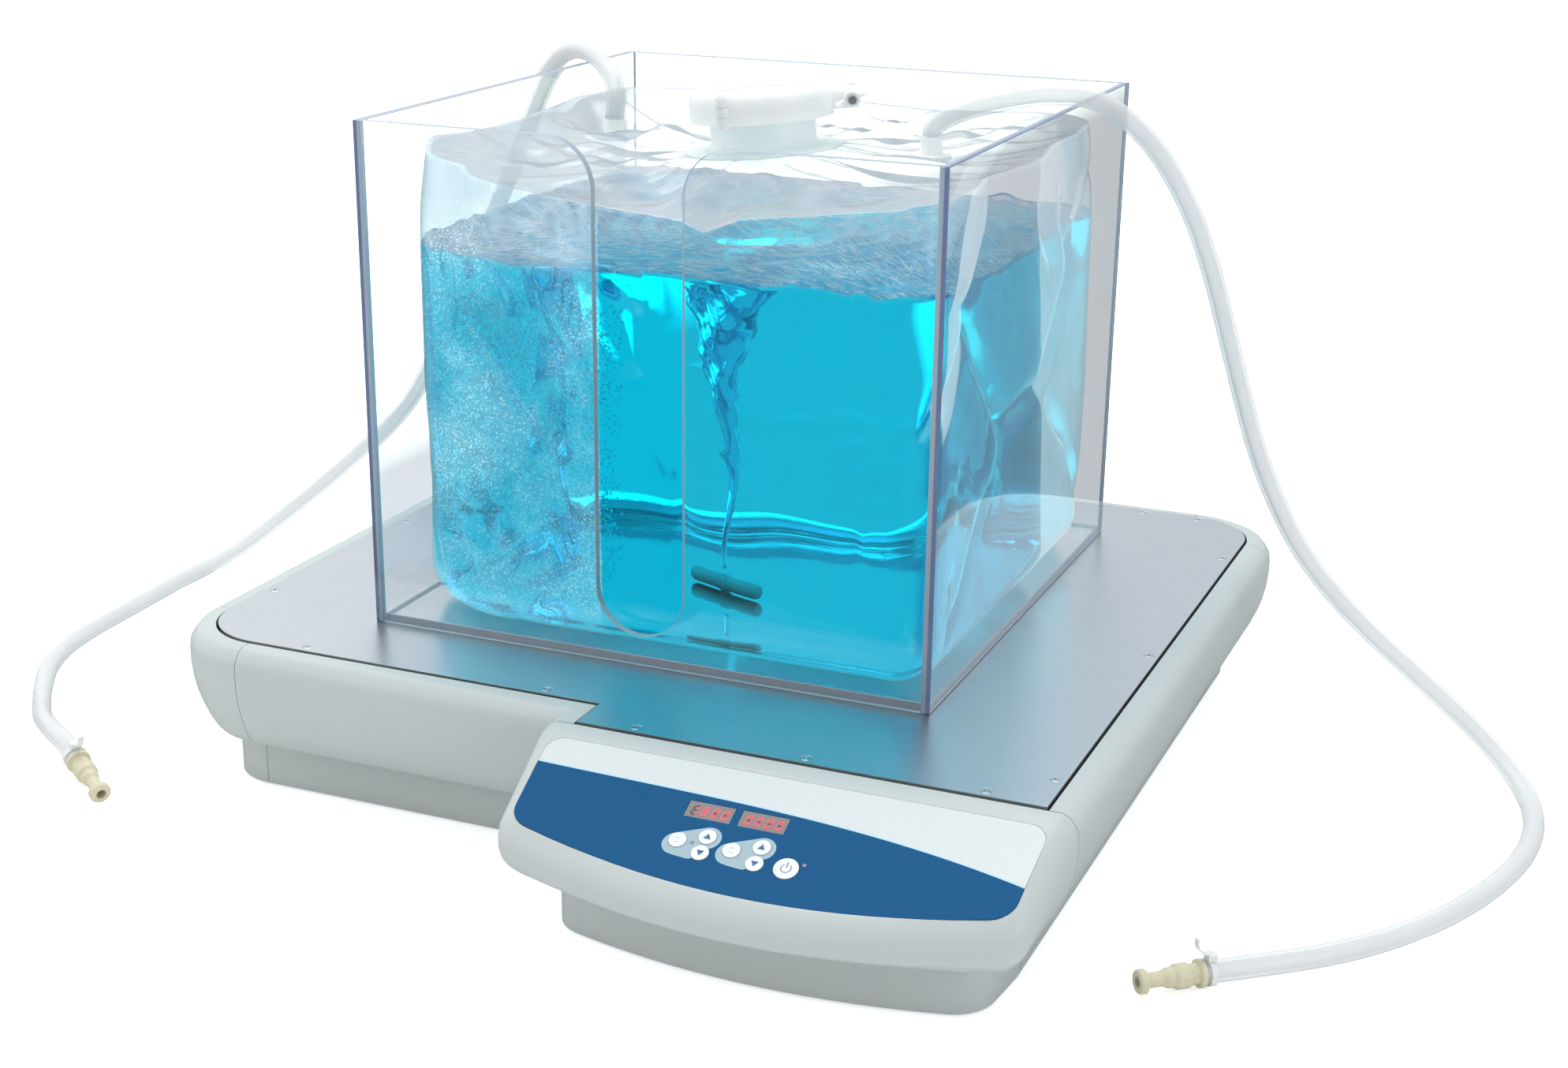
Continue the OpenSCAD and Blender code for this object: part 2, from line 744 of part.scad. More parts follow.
// Circuit board behind the face, with one switch under each key and two posts to the face
module control_board() {
  color([0.1, 0.4, 0.2])
    on_face() {
      translate([-board_w / 2, -board_h - board_top_s, -board_drop - board_t])
        cube([board_w, board_h, board_t]);
      for (k = KEYS)
        translate([k.x - switch_w / 2, -k.y - switch_w / 2, -board_drop - weld])
          cube([switch_w, switch_w, switch_h]);
      for (u = [post_in - board_w / 2, board_w / 2 - post_in]) for (s = [post_in, board_h - post_in])
        translate([u, -s - board_top_s, -board_drop - weld])
          cylinder(r = post_r, h = board_drop - shell_t + weld, $fn = 24);
    }
}

// Steel top plate with countersunk screw holes
module top_plate() {
  color([0.68, 0.72, 0.76])
    difference() {
      translate([0, 0, plate_under_z]) linear_extrude(plate_t) polygon(plate_outline(0));
      for (p = PLATE_SCREWS) translate([p.x, p.y, plate_under_z - 1]) {
        cylinder(r = plate_screw_r + 0.2, h = plate_t + 2, $fn = 24);
        translate([0, 0, plate_t + 1 - plate_screw_r])
          cylinder(r1 = plate_screw_r + 0.2, r2 = 2 * plate_screw_r + 0.2, h = plate_screw_r, $fn = 32);
      }
    }
}

module plate_screws() {
  color([0.8, 0.8, 0.8])
    for (p = PLATE_SCREWS) translate([p.x, p.y, 0]) {
      translate([0, 0, plate_under_z - pan_t - 4])
        cylinder(r = plate_screw_r, h = pan_t + 4 + plate_t - plate_screw_r, $fn = 24);
      translate([0, 0, plate_top_z - plate_screw_r])
        cylinder(r1 = plate_screw_r, r2 = 2 * plate_screw_r, h = plate_screw_r, $fn = 32);
    }
}

// Folded steel pan that carries the plate on its rim
module base_pan() {
  wall = pan_inset + pan_t;
  color([0.6, 0.62, 0.65])
    difference() {
      union() {
        translate([0, 0, pan_z]) linear_extrude(pan_t) polygon(plate_outline(pan_inset));
        translate([0, 0, pan_z]) linear_extrude(plate_under_z - pan_z)
          difference() {
            polygon(plate_outline(pan_inset));
            polygon(plate_outline(wall));
          }
        translate([0, 0, plate_under_z - pan_t]) linear_extrude(pan_t)
          difference() {
            polygon(plate_outline(1));
            polygon(plate_outline(wall));
          }
      }
      for (p = PLATE_SCREWS)
        translate([p.x, p.y, plate_under_z - 10]) cylinder(r = plate_screw_r + 0.1, h = 12, $fn = 24);
      base_screw_holes();
      inlet_block(0.2);
    }
}

module base_screws() {
  color([0.6, 0.6, 0.6])
    for (p = BASE_SCREWS) translate([p.x, p.y, 0]) {
      translate([0, 0, foot_proud + 0.3]) cylinder(r = 2 * base_screw_r, h = pan_z - foot_proud - 1.3, $fn = 32);
      translate([0, 0, pan_z - 1]) cylinder(r = base_screw_r, h = pan_t + 5, $fn = 24);
    }
}

module rubber_feet() {
  color([0.15, 0.15, 0.16])
    for (p = FEET) translate([p.x, p.y, 0]) cylinder(r = foot_r, h = pan_z, $fn = 48);
}

// Magnetic drive: an iron yoke with four cores, and a coil on each core
module at_coils() {
  for (a = [45 : 90 : 315])
    translate([coil_ring_r * cos(a), plate_mid_y + coil_ring_r * sin(a), drive_z + yoke_t]) children();
}

module drive_yoke() {
  yoke_w = 2 * (coil_ring_r * cos(45) + coil_r + yoke_edge);
  color([0.4, 0.42, 0.45])
    translate([-yoke_w / 2, plate_mid_y - yoke_w / 2, drive_z]) cube([yoke_w, yoke_w, yoke_t]);
}

module coil_cores() {
  color([0.35, 0.36, 0.4])
    at_coils() cylinder(r = core_r, h = plate_under_z - drive_z - yoke_t - core_air, $fn = 64);
}

module drive_coils() {
  color([0.7, 0.4, 0.2])
    at_coils() difference() {
      cylinder(r = coil_r, h = plate_under_z - drive_z - yoke_t - coil_head, $fn = 96);
      translate([0, 0, -1]) cylinder(r = core_r + 0.2, h = plate_top_z, $fn = 64);
    }
}

module power_supply() {
  color([0.75, 0.75, 0.7])
    translate([
      pan_inset + pan_t + supply_gap - plate_right_x,
      plate_back_y - plinth_inset - inlet_depth - supply_gap - supply_d,
      drive_z
    ])
      cube([supply_w, supply_d, supply_h]);
}

// Space that the inlet's body takes in the walls behind it
module inlet_block(grow) {
  translate([
    inlet_x - inlet_w / 2 - grow,
    plate_back_y - plinth_inset - inlet_depth - grow,
    inlet_z - inlet_h / 2 - grow
  ])
    cube([inlet_w + 2 * grow, inlet_depth + 2 * grow, inlet_h + 2 * grow]);
}

module power_inlet() {
  face_y = plate_back_y - plinth_inset;
  color([0.1, 0.1, 0.1])
    union() {
      difference() {
        union() {
          inlet_block(0);
          translate([inlet_x - inlet_w / 2 - inlet_rim, face_y, inlet_z - inlet_h / 2 - inlet_rim])
            cube([inlet_w + 2 * inlet_rim, inlet_rim_t, inlet_h + 2 * inlet_rim]);
        }
        translate([inlet_x - socket_w / 2, face_y - socket_depth, inlet_z - socket_h / 2])
          cube([socket_w, socket_depth + inlet_rim_t + 1, socket_h]);
      }
      for (p = CONTACTS)
        translate([inlet_x + p.x - contact_w / 2, face_y - socket_depth - weld, inlet_z + p.y - contact_h / 2])
          cube([contact_w, contact_l + weld, contact_h]);
    }
}

// Acrylic holder: the side sheets run the full depth, the others stand between them
module acrylic(size) {
  color(clear) cube(size);
}

module tank_floor() {
  translate([-inner_w / 2, tank_front_y + acrylic_t, tank_z]) acrylic([inner_w, inner_d, acrylic_t]);
}

module tank_back() {
  translate([-inner_w / 2, tank_back_y - acrylic_t, tank_z]) acrylic([inner_w, acrylic_t, tank_h]);
}

module tank_left() {
  translate([-tank_w / 2, tank_front_y, tank_z]) acrylic([acrylic_t, tank_d, tank_h]);
}

module tank_right() {
  translate([tank_w / 2 - acrylic_t, tank_front_y, tank_z]) acrylic([acrylic_t, tank_d, tank_h]);
}

// Front sheet with its open slot and the rounded corners beside the slot's mouth
module tank_front() {
  slot_r = slot_w / 2;
  color(clear)
    translate([0, tank_front_y + acrylic_t, tank_z])
    rotate([90, 0, 0])
    linear_extrude(acrylic_t)
    difference() {
      translate([-inner_w / 2, 0]) square([inner_w, tank_h]);
      translate([-slot_r, slot_foot + slot_r]) square([slot_w, tank_h]);
      translate([0, slot_foot + slot_r]) circle(r = slot_r, $fn = 96);
      for (side = [-1, 1]) translate([side * slot_r, tank_h])
        difference() {
          translate([-slot_mouth_r, -slot_mouth_r]) square(2 * slot_mouth_r);
          translate([side * slot_mouth_r, -slot_mouth_r]) circle(r = slot_mouth_r, $fn = 96);
          translate([side * slot_mouth_r - slot_mouth_r, -2 * slot_mouth_r - 1])
            square([2 * slot_mouth_r, slot_mouth_r + 1]);
          translate([side > 0 ? slot_mouth_r : -2 * slot_mouth_r - 1, -2 * slot_mouth_r])
            square([slot_mouth_r + 1, 3 * slot_mouth_r]);
        }
    }
}

// Plan of the bag, pulled in by some distance
function bag_outline(inset) =
  let (x = inner_w / 2 - bag_slack - inset, y = inner_d / 2 - bag_slack - inset)
  rounded([
    [-x, plate_mid_y - y, max(bag_left_r - inset, 4)], [x, plate_mid_y - y, max(bag_r - inset, 4)],
    [x, plate_mid_y + y, max(bag_slack_r - inset, 4)], [-x, plate_mid_y + y, max(bag_r - inset, 4)]
  ], 6);

function bag_ring(z, inset) = [for (p = bag_outline(inset)) [p.x, p.y, z]];

// Rings of the bag under its skin: a rounded foot and upright sides
function bag_rings(skin, top) = [
  for (a = [0 : 22.5 : 90])
    bag_ring(bag_z + skin + bag_bottom_r * (1 - cos(a)), skin + bag_bottom_r * (1 - sin(a))),
  bag_ring(top, skin)
];

// Ring of the flat pad that the film makes round the port
function pad_ring(skin) = [
  for (p = bag_outline(0))
    let (a = atan2(p.y - plate_mid_y, p.x), x = port_pad_r * cos(a), z = -skin)
    [x * cos(port_tilt) - z * sin(port_tilt), plate_mid_y + port_pad_r * sin(a),
      port_z + x * sin(port_tilt) + z * cos(port_tilt)]
];

module at_port() {
  translate([0, plate_mid_y, port_z]) rotate([0, -port_tilt, 0]) children();
}

// Body of the filled bag with a tent to the port, and a collar where each hose port pulls the film up
module bag_form(skin) {
  loft(concat(bag_rings(skin, tank_z + bag_shoulder - skin), [pad_ring(skin)]));
  for (p = [LEFT_PORT, RIGHT_PORT])
    translate([p.x, p.y, p.z - collar_h])
      cylinder(r = port_flange_r + 1 - skin, h = collar_h - skin, $fn = 48);
}

module bag_film() {
  color(clear)
    difference() {
      bag_form(0);
      bag_form(film_t);
      at_port() translate([0, 0, -4]) cylinder(r = tube_bore_r, h = 8, $fn = 64);
      for (p = [LEFT_PORT, RIGHT_PORT])
        translate([p.x, p.y, p.z - 4]) cylinder(r = connector_bore_r, h = 8, $fn = 24);
    }
}

// Liquid with its vortex and the space that the stir bar turns in
module liquid() {
  depth = tank_z + liquid_level - pool_top;
  color(water)
    difference() {
      loft(bag_rings(film_t + liquid_gap, tank_z + liquid_level));
      translate([0, plate_mid_y, bag_z - 1]) cylinder(r = pool_r, h = pool_top - bag_z + 1, $fn = 64);
      translate([0, plate_mid_y, pool_top - 1])
        rotate_extrude($fn = 48)
        polygon(concat([[0, 0]], [for (t = [0 : 0.1 : 1]) [3 + (vortex_r - 3) * t * t * t, t * (depth + 2)]],
          [[0, depth + 2]]));
    }
}

// Stir bar with rounded ends and its middle ring
module stir_bar() {
  half = bar_l / 2;
  nose = bar_r * 0.7;
  ring = bar_r + bar_ring;
  shoulder = bar_ring_w / 2;
  side = [[bar_r, half - nose], [bar_r - 0.3 * nose, half - 0.3 * nose], [bar_r - nose, half]];
  color(white)
    translate([0, plate_mid_y, bar_z]) rotate([0, 90, bar_turn])
    rotate_extrude($fn = 48)
    polygon(concat([[0, -half]], [for (i = [2 : -1 : 0]) [side[i].x, -side[i].y]],
      [[bar_r, -shoulder - bar_ring_foot], [ring, -shoulder], [ring, shoulder],
        [bar_r, shoulder + bar_ring_foot]], side, [[0, half]]));
}

// Port, gasket and cap: profiles about the port's axis, from the bag upward
module port_ferrule() {
  top = port_h - gasket_t / 2;
  neck_z = top - rim_t - (ferrule_r - tube_r) * rim_bevel;
  color(milky)
    at_port() rotate_extrude($fn = 96)
    polygon([[tube_bore_r, 0], [port_pad_r - pad_rim, 0], [port_pad_r - pad_rim, pad_t],
      [tube_r + neck_fillet, pad_t + pad_rise], [tube_r, neck_foot_z],
      [tube_r, neck_z], [ferrule_r, top - rim_t], [ferrule_r, top], [tube_bore_r, top]]);
}

module port_gasket() {
  color([0.85, 0.86, 0.85])
    at_port() translate([0, 0, port_h - gasket_t / 2]) difference() {
      cylinder(r = ferrule_r - 0.5, h = gasket_t, $fn = 96);
      translate([0, 0, -1]) cylinder(r = tube_bore_r, h = gasket_t + 2, $fn = 96);
    }
}

module port_cap() {
  lip_in = jaw_reach + 0.5;
  lip_r = ferrule_r - lip_in;
  lip_h = rim_t + lip_in * rim_bevel;
  color(milky)
    at_port() translate([0, 0, port_h + gasket_t / 2]) rotate_extrude($fn = 96)
    polygon([[0, 0], [ferrule_r, 0], [ferrule_r, rim_t], [lip_r, lip_h], [lip_r - cap_lip_w, lip_h],
      [lip_r - cap_lip_w - cap_lip_step, cap_floor_t], [0, cap_floor_t]]);
}

// Three-part clamp: two hinges and one closure, a third of a turn apart
module clamp_arc(from, to) {
  half_h = clamp_h / 2;
  jaw_r = ferrule_r - jaw_reach;
  groove_r = ferrule_r + jaw_gap;
  groove = rim_t + gasket_t / 2 + jaw_gap;
  mouth = groove + (groove_r - jaw_r) * rim_bevel;
  at_port() translate([0, 0, port_h]) rotate([0, 0, from]) rotate_extrude(angle = to - from, $fn = 128)
    polygon([[jaw_r, half_h], [clamp_r, half_h], [clamp_r, -half_h], [jaw_r, -half_h],
      [jaw_r, -mouth], [groove_r, -groove], [groove_r, groove], [jaw_r, mouth]]);
}

// A stretch of hinge barrel, from one height to another about the clamp's middle
module knuckle(angle, low, high, r) {
  at_port() rotate([0, 0, angle]) translate([hinge_r, 0, port_h + low]) cylinder(r = r, h = high - low, $fn = 32);
}

module closure_lug(side) {
  at_port() rotate([0, 0, closure]) translate([0, 0, port_h - lug_w / 2])
    difference() {
      translate([clamp_r - lug_root, side > 0 ? lug_gap : -lug_gap - lug_t, 0])
        cube([lug_end_r - clamp_r + lug_root, lug_t, lug_w]);
      translate([bolt_ring_r - bolt_slot / 2, side > 0 ? 0 : -lug_gap - lug_t - 1, (lug_w - bolt_slot) / 2])
        cube([lug_w, lug_gap + lug_t + 1, bolt_slot]);
    }
}

// One clamp segment: its arc, barrels at the hinges that it carries and room for its neighbour's
module clamp_segment(from, to, outer, inner) {
  inner_half = knuckle_split - knuckle_gap;
  difference() {
    union() {
      clamp_arc(from, to);
      for (a = outer) {
        knuckle(a, -knuckle_h, -knuckle_split, knuckle_r);
        knuckle(a, knuckle_split, knuckle_h, knuckle_r);
      }
      for (a = inner) knuckle(a, -inner_half, inner_half, knuckle_r);
    }
    for (a = outer) knuckle(a, -knuckle_split, knuckle_split, knuckle_r + knuckle_gap);
    for (a = inner) {
      knuckle(a, -knuckle_h - 1, -inner_half, knuckle_r + knuckle_gap);
      knuckle(a, inner_half, knuckle_h + 1, knuckle_r + knuckle_gap);
    }
    for (a = concat(outer, inner)) knuckle(a, -knuckle_h - 1, knuckle_h + 1, pin_r + pin_gap);
  }
}

module clamp_segment_left() {
  color(milky) clamp_segment(hinge_2 + 1, hinge_1 + 359, [hinge_1, hinge_2], []);
}

module clamp_segment_front() {
  color(milky) {
    clamp_segment(hinge_1 + 1, closure - closure_half, [], [hinge_1]);
    closure_lug(-1);
  }
}

module clamp_segment_back() {
  color(milky) {
    clamp_segment(closure + closure_half, hinge_2 - 1, [], [hinge_2]);
    closure_lug(1);
  }
}

module clamp_hinge_pins() {
  color([0.8, 0.8, 0.8])
    for (a = [hinge_1, hinge_2]) knuckle(a, -knuckle_h, knuckle_h, pin_r);
}

// Frame of the bolt: its axis along -Y of the closure, starting at its pivot
module at_bolt() {
  at_port() rotate([0, 0, closure]) translate([bolt_ring_r, pivot_t, port_h]) rotate([90, 0, 0]) children();
}

module clamp_bolt() {
  color([0.85, 0.86, 0.86])
    at_bolt() {
      cylinder(r = bolt_r, h = bolt_l, $fn = 32);
      rotate([90, 0, 0]) translate([0, 0, -lug_w / 2]) cylinder(r = pivot_r, h = lug_w, $fn = 32);
    }
}

module clamp_wing_nut() {
  color(milky)
    at_bolt() translate([0, 0, nut_z]) difference() {
      union() {
        cylinder(r = nut_r, h = nut_h, $fn = 32);
        for (side = [0, 180])
          rotate([90, 0, side + wing_turn]) translate([0, 0, -wing_t / 2]) linear_extrude(wing_t) polygon(WING);
      }
      translate([0, 0, -1]) cylinder(r = bolt_r + 0.06, h = nut_h + 6, $fn = 32);
    }
}

// Hose port on the film: a flange and a stem with a bore
module hose_port(p) {
  color(milky)
    translate(p) difference() {
      union() {
        cylinder(r = port_flange_r, h = port_flange_t, $fn = 48);
        cylinder(r = hose_r + port_stem_t, h = port_flange_t + port_stem_h, $fn = 48);
      }
      translate([0, 0, -1]) cylinder(r = connector_bore_r, h = port_stem_h, $fn = 24);
    }
}

module left_port() { hose_port(LEFT_PORT); }
module right_port() { hose_port(RIGHT_PORT); }

// A tube swept along a route: every ring stands square to the route and isn't twisted
function square_to(v, t) = unit(v - t * (v * t));
module swept_tube(route, aim) {
  n = len(route);
  tangent = [
    for (i = [0 : n - 1])
      i == 0 ? [0, 0, 1]
      : i == n - 1 ? unit(aim)
      : unit(unit(route[i + 1] - route[i]) + unit(route[i] - route[i - 1]))
  ];
  side = [
    for (i = 0, s = [1, 0, 0]; i < n; i = i + 1, s = i < n ? square_to(s, tangent[i]) : s)
      square_to(s, tangent[i])
  ];
  rings = [
    for (i = [0 : n - 1]) [
      for (k = [0 : hose_sides - 1])
        let (a = 360 * k / hose_sides)
        route[i] + hose_r * (side[i] * cos(a) + cross(tangent[i], side[i]) * sin(a))
    ]
  ];
  loft(rings);
}

module left_hose() { color(milky) swept_tube(LEFT_ROUTE, LEFT_AIM); }
module right_hose() { color(milky) swept_tube(RIGHT_ROUTE, RIGHT_AIM); }

// Frame at a hose's end, with z along the connector
module at_hose_end(route, aim) {
  translate(route[len(route) - 1]) rotate([0, acos(unit(aim).z), atan2(aim.y, aim.x)]) children();
}

module connector(route, aim) {
  neck_r = connector_bore_r + 1;
  l = connector_l;
  color([0.87, 0.85, 0.74])
    at_hose_end(route, aim) rotate_extrude($fn = 48)
    polygon([[connector_bore_r, 0], [hose_r + 1.5, 0], [hose_r + 1.5, 2.5], [5.6, 3.5], [5.6, 7], [6.6, 8.5],
      [6.6, 15], [5.4, 17], [5.2, 20], [neck_r, 23], [neck_r, l - 6], [6.4, l - 4], [6.4, l - 1], [5.8, l],
      [connector_bore_r, l]]);
}

module left_connector() { connector(LEFT_ROUTE, LEFT_AIM); }
module right_connector() { connector(RIGHT_ROUTE, RIGHT_AIM); }

// Cable tie round a hose's end: band, head and a tail that bends over the connector
module tie(route, aim) {
  head_r = hose_r + tie_gap + tie_t - 0.2;
  at_hose_end(route, aim) translate([0, 0, -tie_back]) {
    difference() {
      cylinder(r = hose_r + tie_gap + tie_t, h = tie_w, $fn = 48);
      translate([0, 0, -1]) cylinder(r = hose_r + tie_gap, h = tie_w + 2, $fn = 48);
    }
    translate([-head_r - tie_w, -tie_head / 2, (tie_w - tie_head_l) / 2])
      cube([tie_w, tie_head, tie_head_l]);
    translate([-hose_r - tie_reach, 0, tie_w - 1]) rotate([90, 0, 0]) translate([0, 0, -tie_w / 2])
      linear_extrude(tie_w) difference() {
        circle(r = tie_bend_r, $fn = 48);
        circle(r = tie_bend_r - 1, $fn = 48);
        translate([-2 * tie_bend_r, -4 * tie_bend_r]) square(4 * tie_bend_r);
        translate([-2 * tie_bend_r - 2, -tie_bend_r]) square(2 * tie_bend_r);
      }
  }
}

module hose_ties() {
  color(white) {
    tie(LEFT_ROUTE, LEFT_AIM);
    tie(RIGHT_ROUTE, RIGHT_AIM);
  }
}

base_pan();
front_rail();
left_rail();
back_rail();
right_rail();
corner_front_left();
corner_back_left();
corner_back_right();
control_housing();
top_plate();
plate_screws();
rubber_feet();
base_screws();
drive_yoke();
coil_cores();
drive_coils();
power_supply();
power_inlet();
control_board();
keypad_label();
speed_display();
time_display();
status_leds();
speed_mode_key();
speed_up_key();
speed_down_key();
time_mode_key();
time_up_key();
time_down_key();
power_key();
tank_floor();
tank_front();
tank_back();
tank_left();
tank_right();
bag_film();
liquid();
stir_bar();
port_ferrule();
port_gasket();
port_cap();
clamp_segment_left();
clamp_segment_front();
clamp_segment_back();
clamp_hinge_pins();
clamp_bolt();
clamp_wing_nut();
left_port();
right_port();
left_hose();
right_hose();
left_connector();
right_connector();
hose_ties();
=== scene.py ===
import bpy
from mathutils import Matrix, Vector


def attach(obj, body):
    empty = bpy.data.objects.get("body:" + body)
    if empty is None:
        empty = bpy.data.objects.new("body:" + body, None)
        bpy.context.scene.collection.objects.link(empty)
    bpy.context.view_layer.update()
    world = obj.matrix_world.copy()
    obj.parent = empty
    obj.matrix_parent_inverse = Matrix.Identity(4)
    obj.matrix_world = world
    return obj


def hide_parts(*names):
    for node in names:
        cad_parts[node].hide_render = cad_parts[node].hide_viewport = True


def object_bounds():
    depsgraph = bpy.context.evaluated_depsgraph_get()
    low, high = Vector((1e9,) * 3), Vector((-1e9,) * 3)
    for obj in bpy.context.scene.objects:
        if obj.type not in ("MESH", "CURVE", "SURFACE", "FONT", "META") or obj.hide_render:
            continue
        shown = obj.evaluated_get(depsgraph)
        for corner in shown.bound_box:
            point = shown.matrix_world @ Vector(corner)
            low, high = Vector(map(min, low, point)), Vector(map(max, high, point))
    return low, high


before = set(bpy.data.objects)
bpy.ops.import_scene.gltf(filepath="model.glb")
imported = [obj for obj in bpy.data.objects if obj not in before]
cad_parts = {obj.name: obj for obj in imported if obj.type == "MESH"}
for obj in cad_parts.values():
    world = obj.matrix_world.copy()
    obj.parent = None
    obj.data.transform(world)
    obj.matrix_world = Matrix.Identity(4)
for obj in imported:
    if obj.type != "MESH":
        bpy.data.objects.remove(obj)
cad_box = [list(corner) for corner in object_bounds()]

import math

import bmesh
import bpy
import numpy as np
from mathutils import Matrix, Vector

# ---- Camera and studio --------------------------------------------------------------------
# The stirrer stands on a pale table in front of a white backdrop. The camera looks down on it
# from ahead and to its right, and large soft lamps hang over it and beside it.
scene = bpy.context.scene
camera_turn, camera_drop, camera_roll = (math.radians(a) for a in (23.163, 19.988, 0.533))


def in_scene(name, data):
    """A new object in the scene."""
    made = bpy.data.objects.new(name, data)
    scene.collection.objects.link(made)
    return made


camera = in_scene("camera", bpy.data.cameras.new("camera"))
ahead = Vector((-math.sin(camera_turn) * math.cos(camera_drop),
                math.cos(camera_turn) * math.cos(camera_drop), -math.sin(camera_drop)))
level = ahead.cross(Vector((0, 0, 1))).normalized()
upright = level.cross(ahead)
to_right = level * math.cos(camera_roll) + upright * math.sin(camera_roll)
to_top = upright * math.cos(camera_roll) - level * math.sin(camera_roll)
camera.matrix_world = (Matrix.Translation((0.5502, -1.24675, 0.5930))
                       @ Matrix((to_right, to_top, -ahead)).transposed().to_4x4())
camera.data.lens = 54.045
camera.data.sensor_width = 36
camera.data.shift_x = 0.02113
camera.data.shift_y = 0.04074
camera.data.clip_start, camera.data.clip_end = 0.05, 60
scene.camera = camera

scene.view_settings.view_transform = "Standard"
scene.cycles.max_bounces = 24
scene.cycles.transmission_bounces = 20
scene.cycles.transparent_max_bounces = 24
scene.cycles.glossy_bounces = 8
scene.cycles.diffuse_bounces = 3
scene.cycles.caustics_reflective = False
scene.cycles.caustics_refractive = False


def node(tree, kind, sockets=None, **settings):
    """A node whose sockets are given as values, or as the sockets that feed them."""
    made = tree.nodes.new(kind)
    for key, value in settings.items():
        setattr(made, key, value)
    for key, value in (sockets or {}).items():
        if isinstance(value, bpy.types.NodeSocket):
            tree.links.new(value, made.inputs[key])
        else:
            made.inputs[key].default_value = value
    return made


def maths(tree, operation, *values, clamp=False):
    """The result of one sum."""
    return node(tree, "ShaderNodeMath", dict(enumerate(values)), operation=operation,
                use_clamp=clamp).outputs[0]


def blended(tree, share, first, second):
    """A colour between two, by a share."""
    return node(tree, "ShaderNodeMix", {0: share, 6: first, 7: second}, data_type="RGBA").outputs[2]


def ranged(tree, value, low, high, least=0.0, most=1.0, **settings):
    """Goes from least to most while a value goes from low to high, and stays there beyond them."""
    return node(tree, "ShaderNodeMapRange", {"Value": value, "From Min": low, "From Max": high,
                                             "To Min": least, "To Max": most}, **settings).outputs[0]


def own_place(tree):
    """Where a point lies in its piece's own frame."""
    return node(tree, "ShaderNodeTexCoord").outputs["Object"]


def ramp(tree, value, stops):
    """A colour ramp with stops as (place, colour)."""
    made = node(tree, "ShaderNodeValToRGB", {"Fac": value})
    while len(made.color_ramp.elements) < len(stops):
        made.color_ramp.elements.new(0.5)
    for element, (place, colour) in zip(made.color_ramp.elements, stops):
        element.position, element.color = place, (*colour, 1)
    return made.outputs["Color"]


world = bpy.data.worlds.new("studio")
scene.world = world
world.use_nodes = True
sky = world.node_tree
sky.nodes.clear()


def seen_through(tree):
    """Whether a ray has come through clear pieces without being thrown back by their faces."""
    most_passes = 4.5
    rays = node(tree, "ShaderNodeLightPath").outputs
    mirrored = maths(tree, "MULTIPLY", maths(tree, "GREATER_THAN", rays["Glossy Depth"], 0.5),
                     maths(tree, "LESS_THAN", rays["Transmission Depth"], most_passes))
    through = maths(tree, "MULTIPLY", rays["Is Transmission Ray"], maths(tree, "SUBTRACT", 1.0, mirrored))
    return through, rays


clear_view, rays = seen_through(sky)
way = node(sky, "ShaderNodeSeparateXYZ", {0: node(sky, "ShaderNodeTexCoord").outputs["Generated"]}).outputs
# The room is dim behind the camera and near the floor, bright behind the stirrer and overhead
behind, raised, overhead, leftward = (
    ranged(sky, way[axis], low, high, interpolation_type="SMOOTHSTEP")
    for axis, low, high in (("Y", -0.35, 0.75), ("Z", -0.05, 0.15), ("Z", 0.20, 0.85), ("X", -0.25, -0.75)))
front_wall = blended(sky, rays["Is Diffuse Ray"], (0.34, 0.37, 0.40, 1), (0.13, 0.14, 0.155, 1))
walls = blended(sky, maths(sky, "MULTIPLY", behind, raised), front_wall, (0.74, 0.79, 0.84, 1))
ceiling = blended(sky, rays["Is Diffuse Ray"], (0.86, 0.89, 0.92, 1), (0.66, 0.68, 0.70, 1))
room = blended(sky, overhead, walls, ceiling)
room = blended(sky, maths(sky, "MULTIPLY", leftward, raised), room, (1.10, 1.12, 1.13, 1))
# What shines through the clear pieces is brighter far to the left, where the right wall looks
through_light, through_left = (0.945, 0.955, 0.965, 1), (2.3, 2.6, 2.4, 1)
far_left = ranged(sky, way["X"], -0.62, -0.80)
through = blended(sky, clear_view, room, blended(sky, far_left, through_light, through_left))
seen = blended(sky, rays["Is Camera Ray"], through, (1, 1, 1, 1))
backdrop = node(sky, "ShaderNodeBackground", {"Color": seen, "Strength": 1.0})
node(sky, "ShaderNodeOutputWorld", {"Surface": backdrop.outputs[0]})


def softbox(name, place, aim, size, power):
    """A rectangular white lamp that faces a point."""
    lamp = in_scene(name, bpy.data.lights.new(name, "AREA"))
    lamp.data.shape, lamp.data.size, lamp.data.size_y = "RECTANGLE", *size
    lamp.data.energy = power
    lamp.location = place
    lamp.rotation_mode = "QUATERNION"
    lamp.rotation_quaternion = (Vector(aim) - Vector(place)).to_track_quat("-Z", "Y")


softbox("overhead_lamp", (-0.4, 0.5, 2.2), (0, 0, 0.1), (1.8, 1.8), 31)
softbox("side_lamp", (2.1, -0.8, 0.8), (0.2, -0.1, 0.05), (1.2, 1.2), 10)
softbox("strip_lamp", (-1.0, -1.5, 1.6), (0, -0.1, 0.25), (0.12, 1.0), 4)


def finish(name, **plain):
    """A material, its tree and its main shader, with the values that are the same all over it."""
    made = bpy.data.materials.new(name)
    made.use_nodes = True
    shader = made.node_tree.nodes["Principled BSDF"]
    for key, value in plain.items():
        shader.inputs[key.replace("_", " ")].default_value = value
    return made, made.node_tree, shader


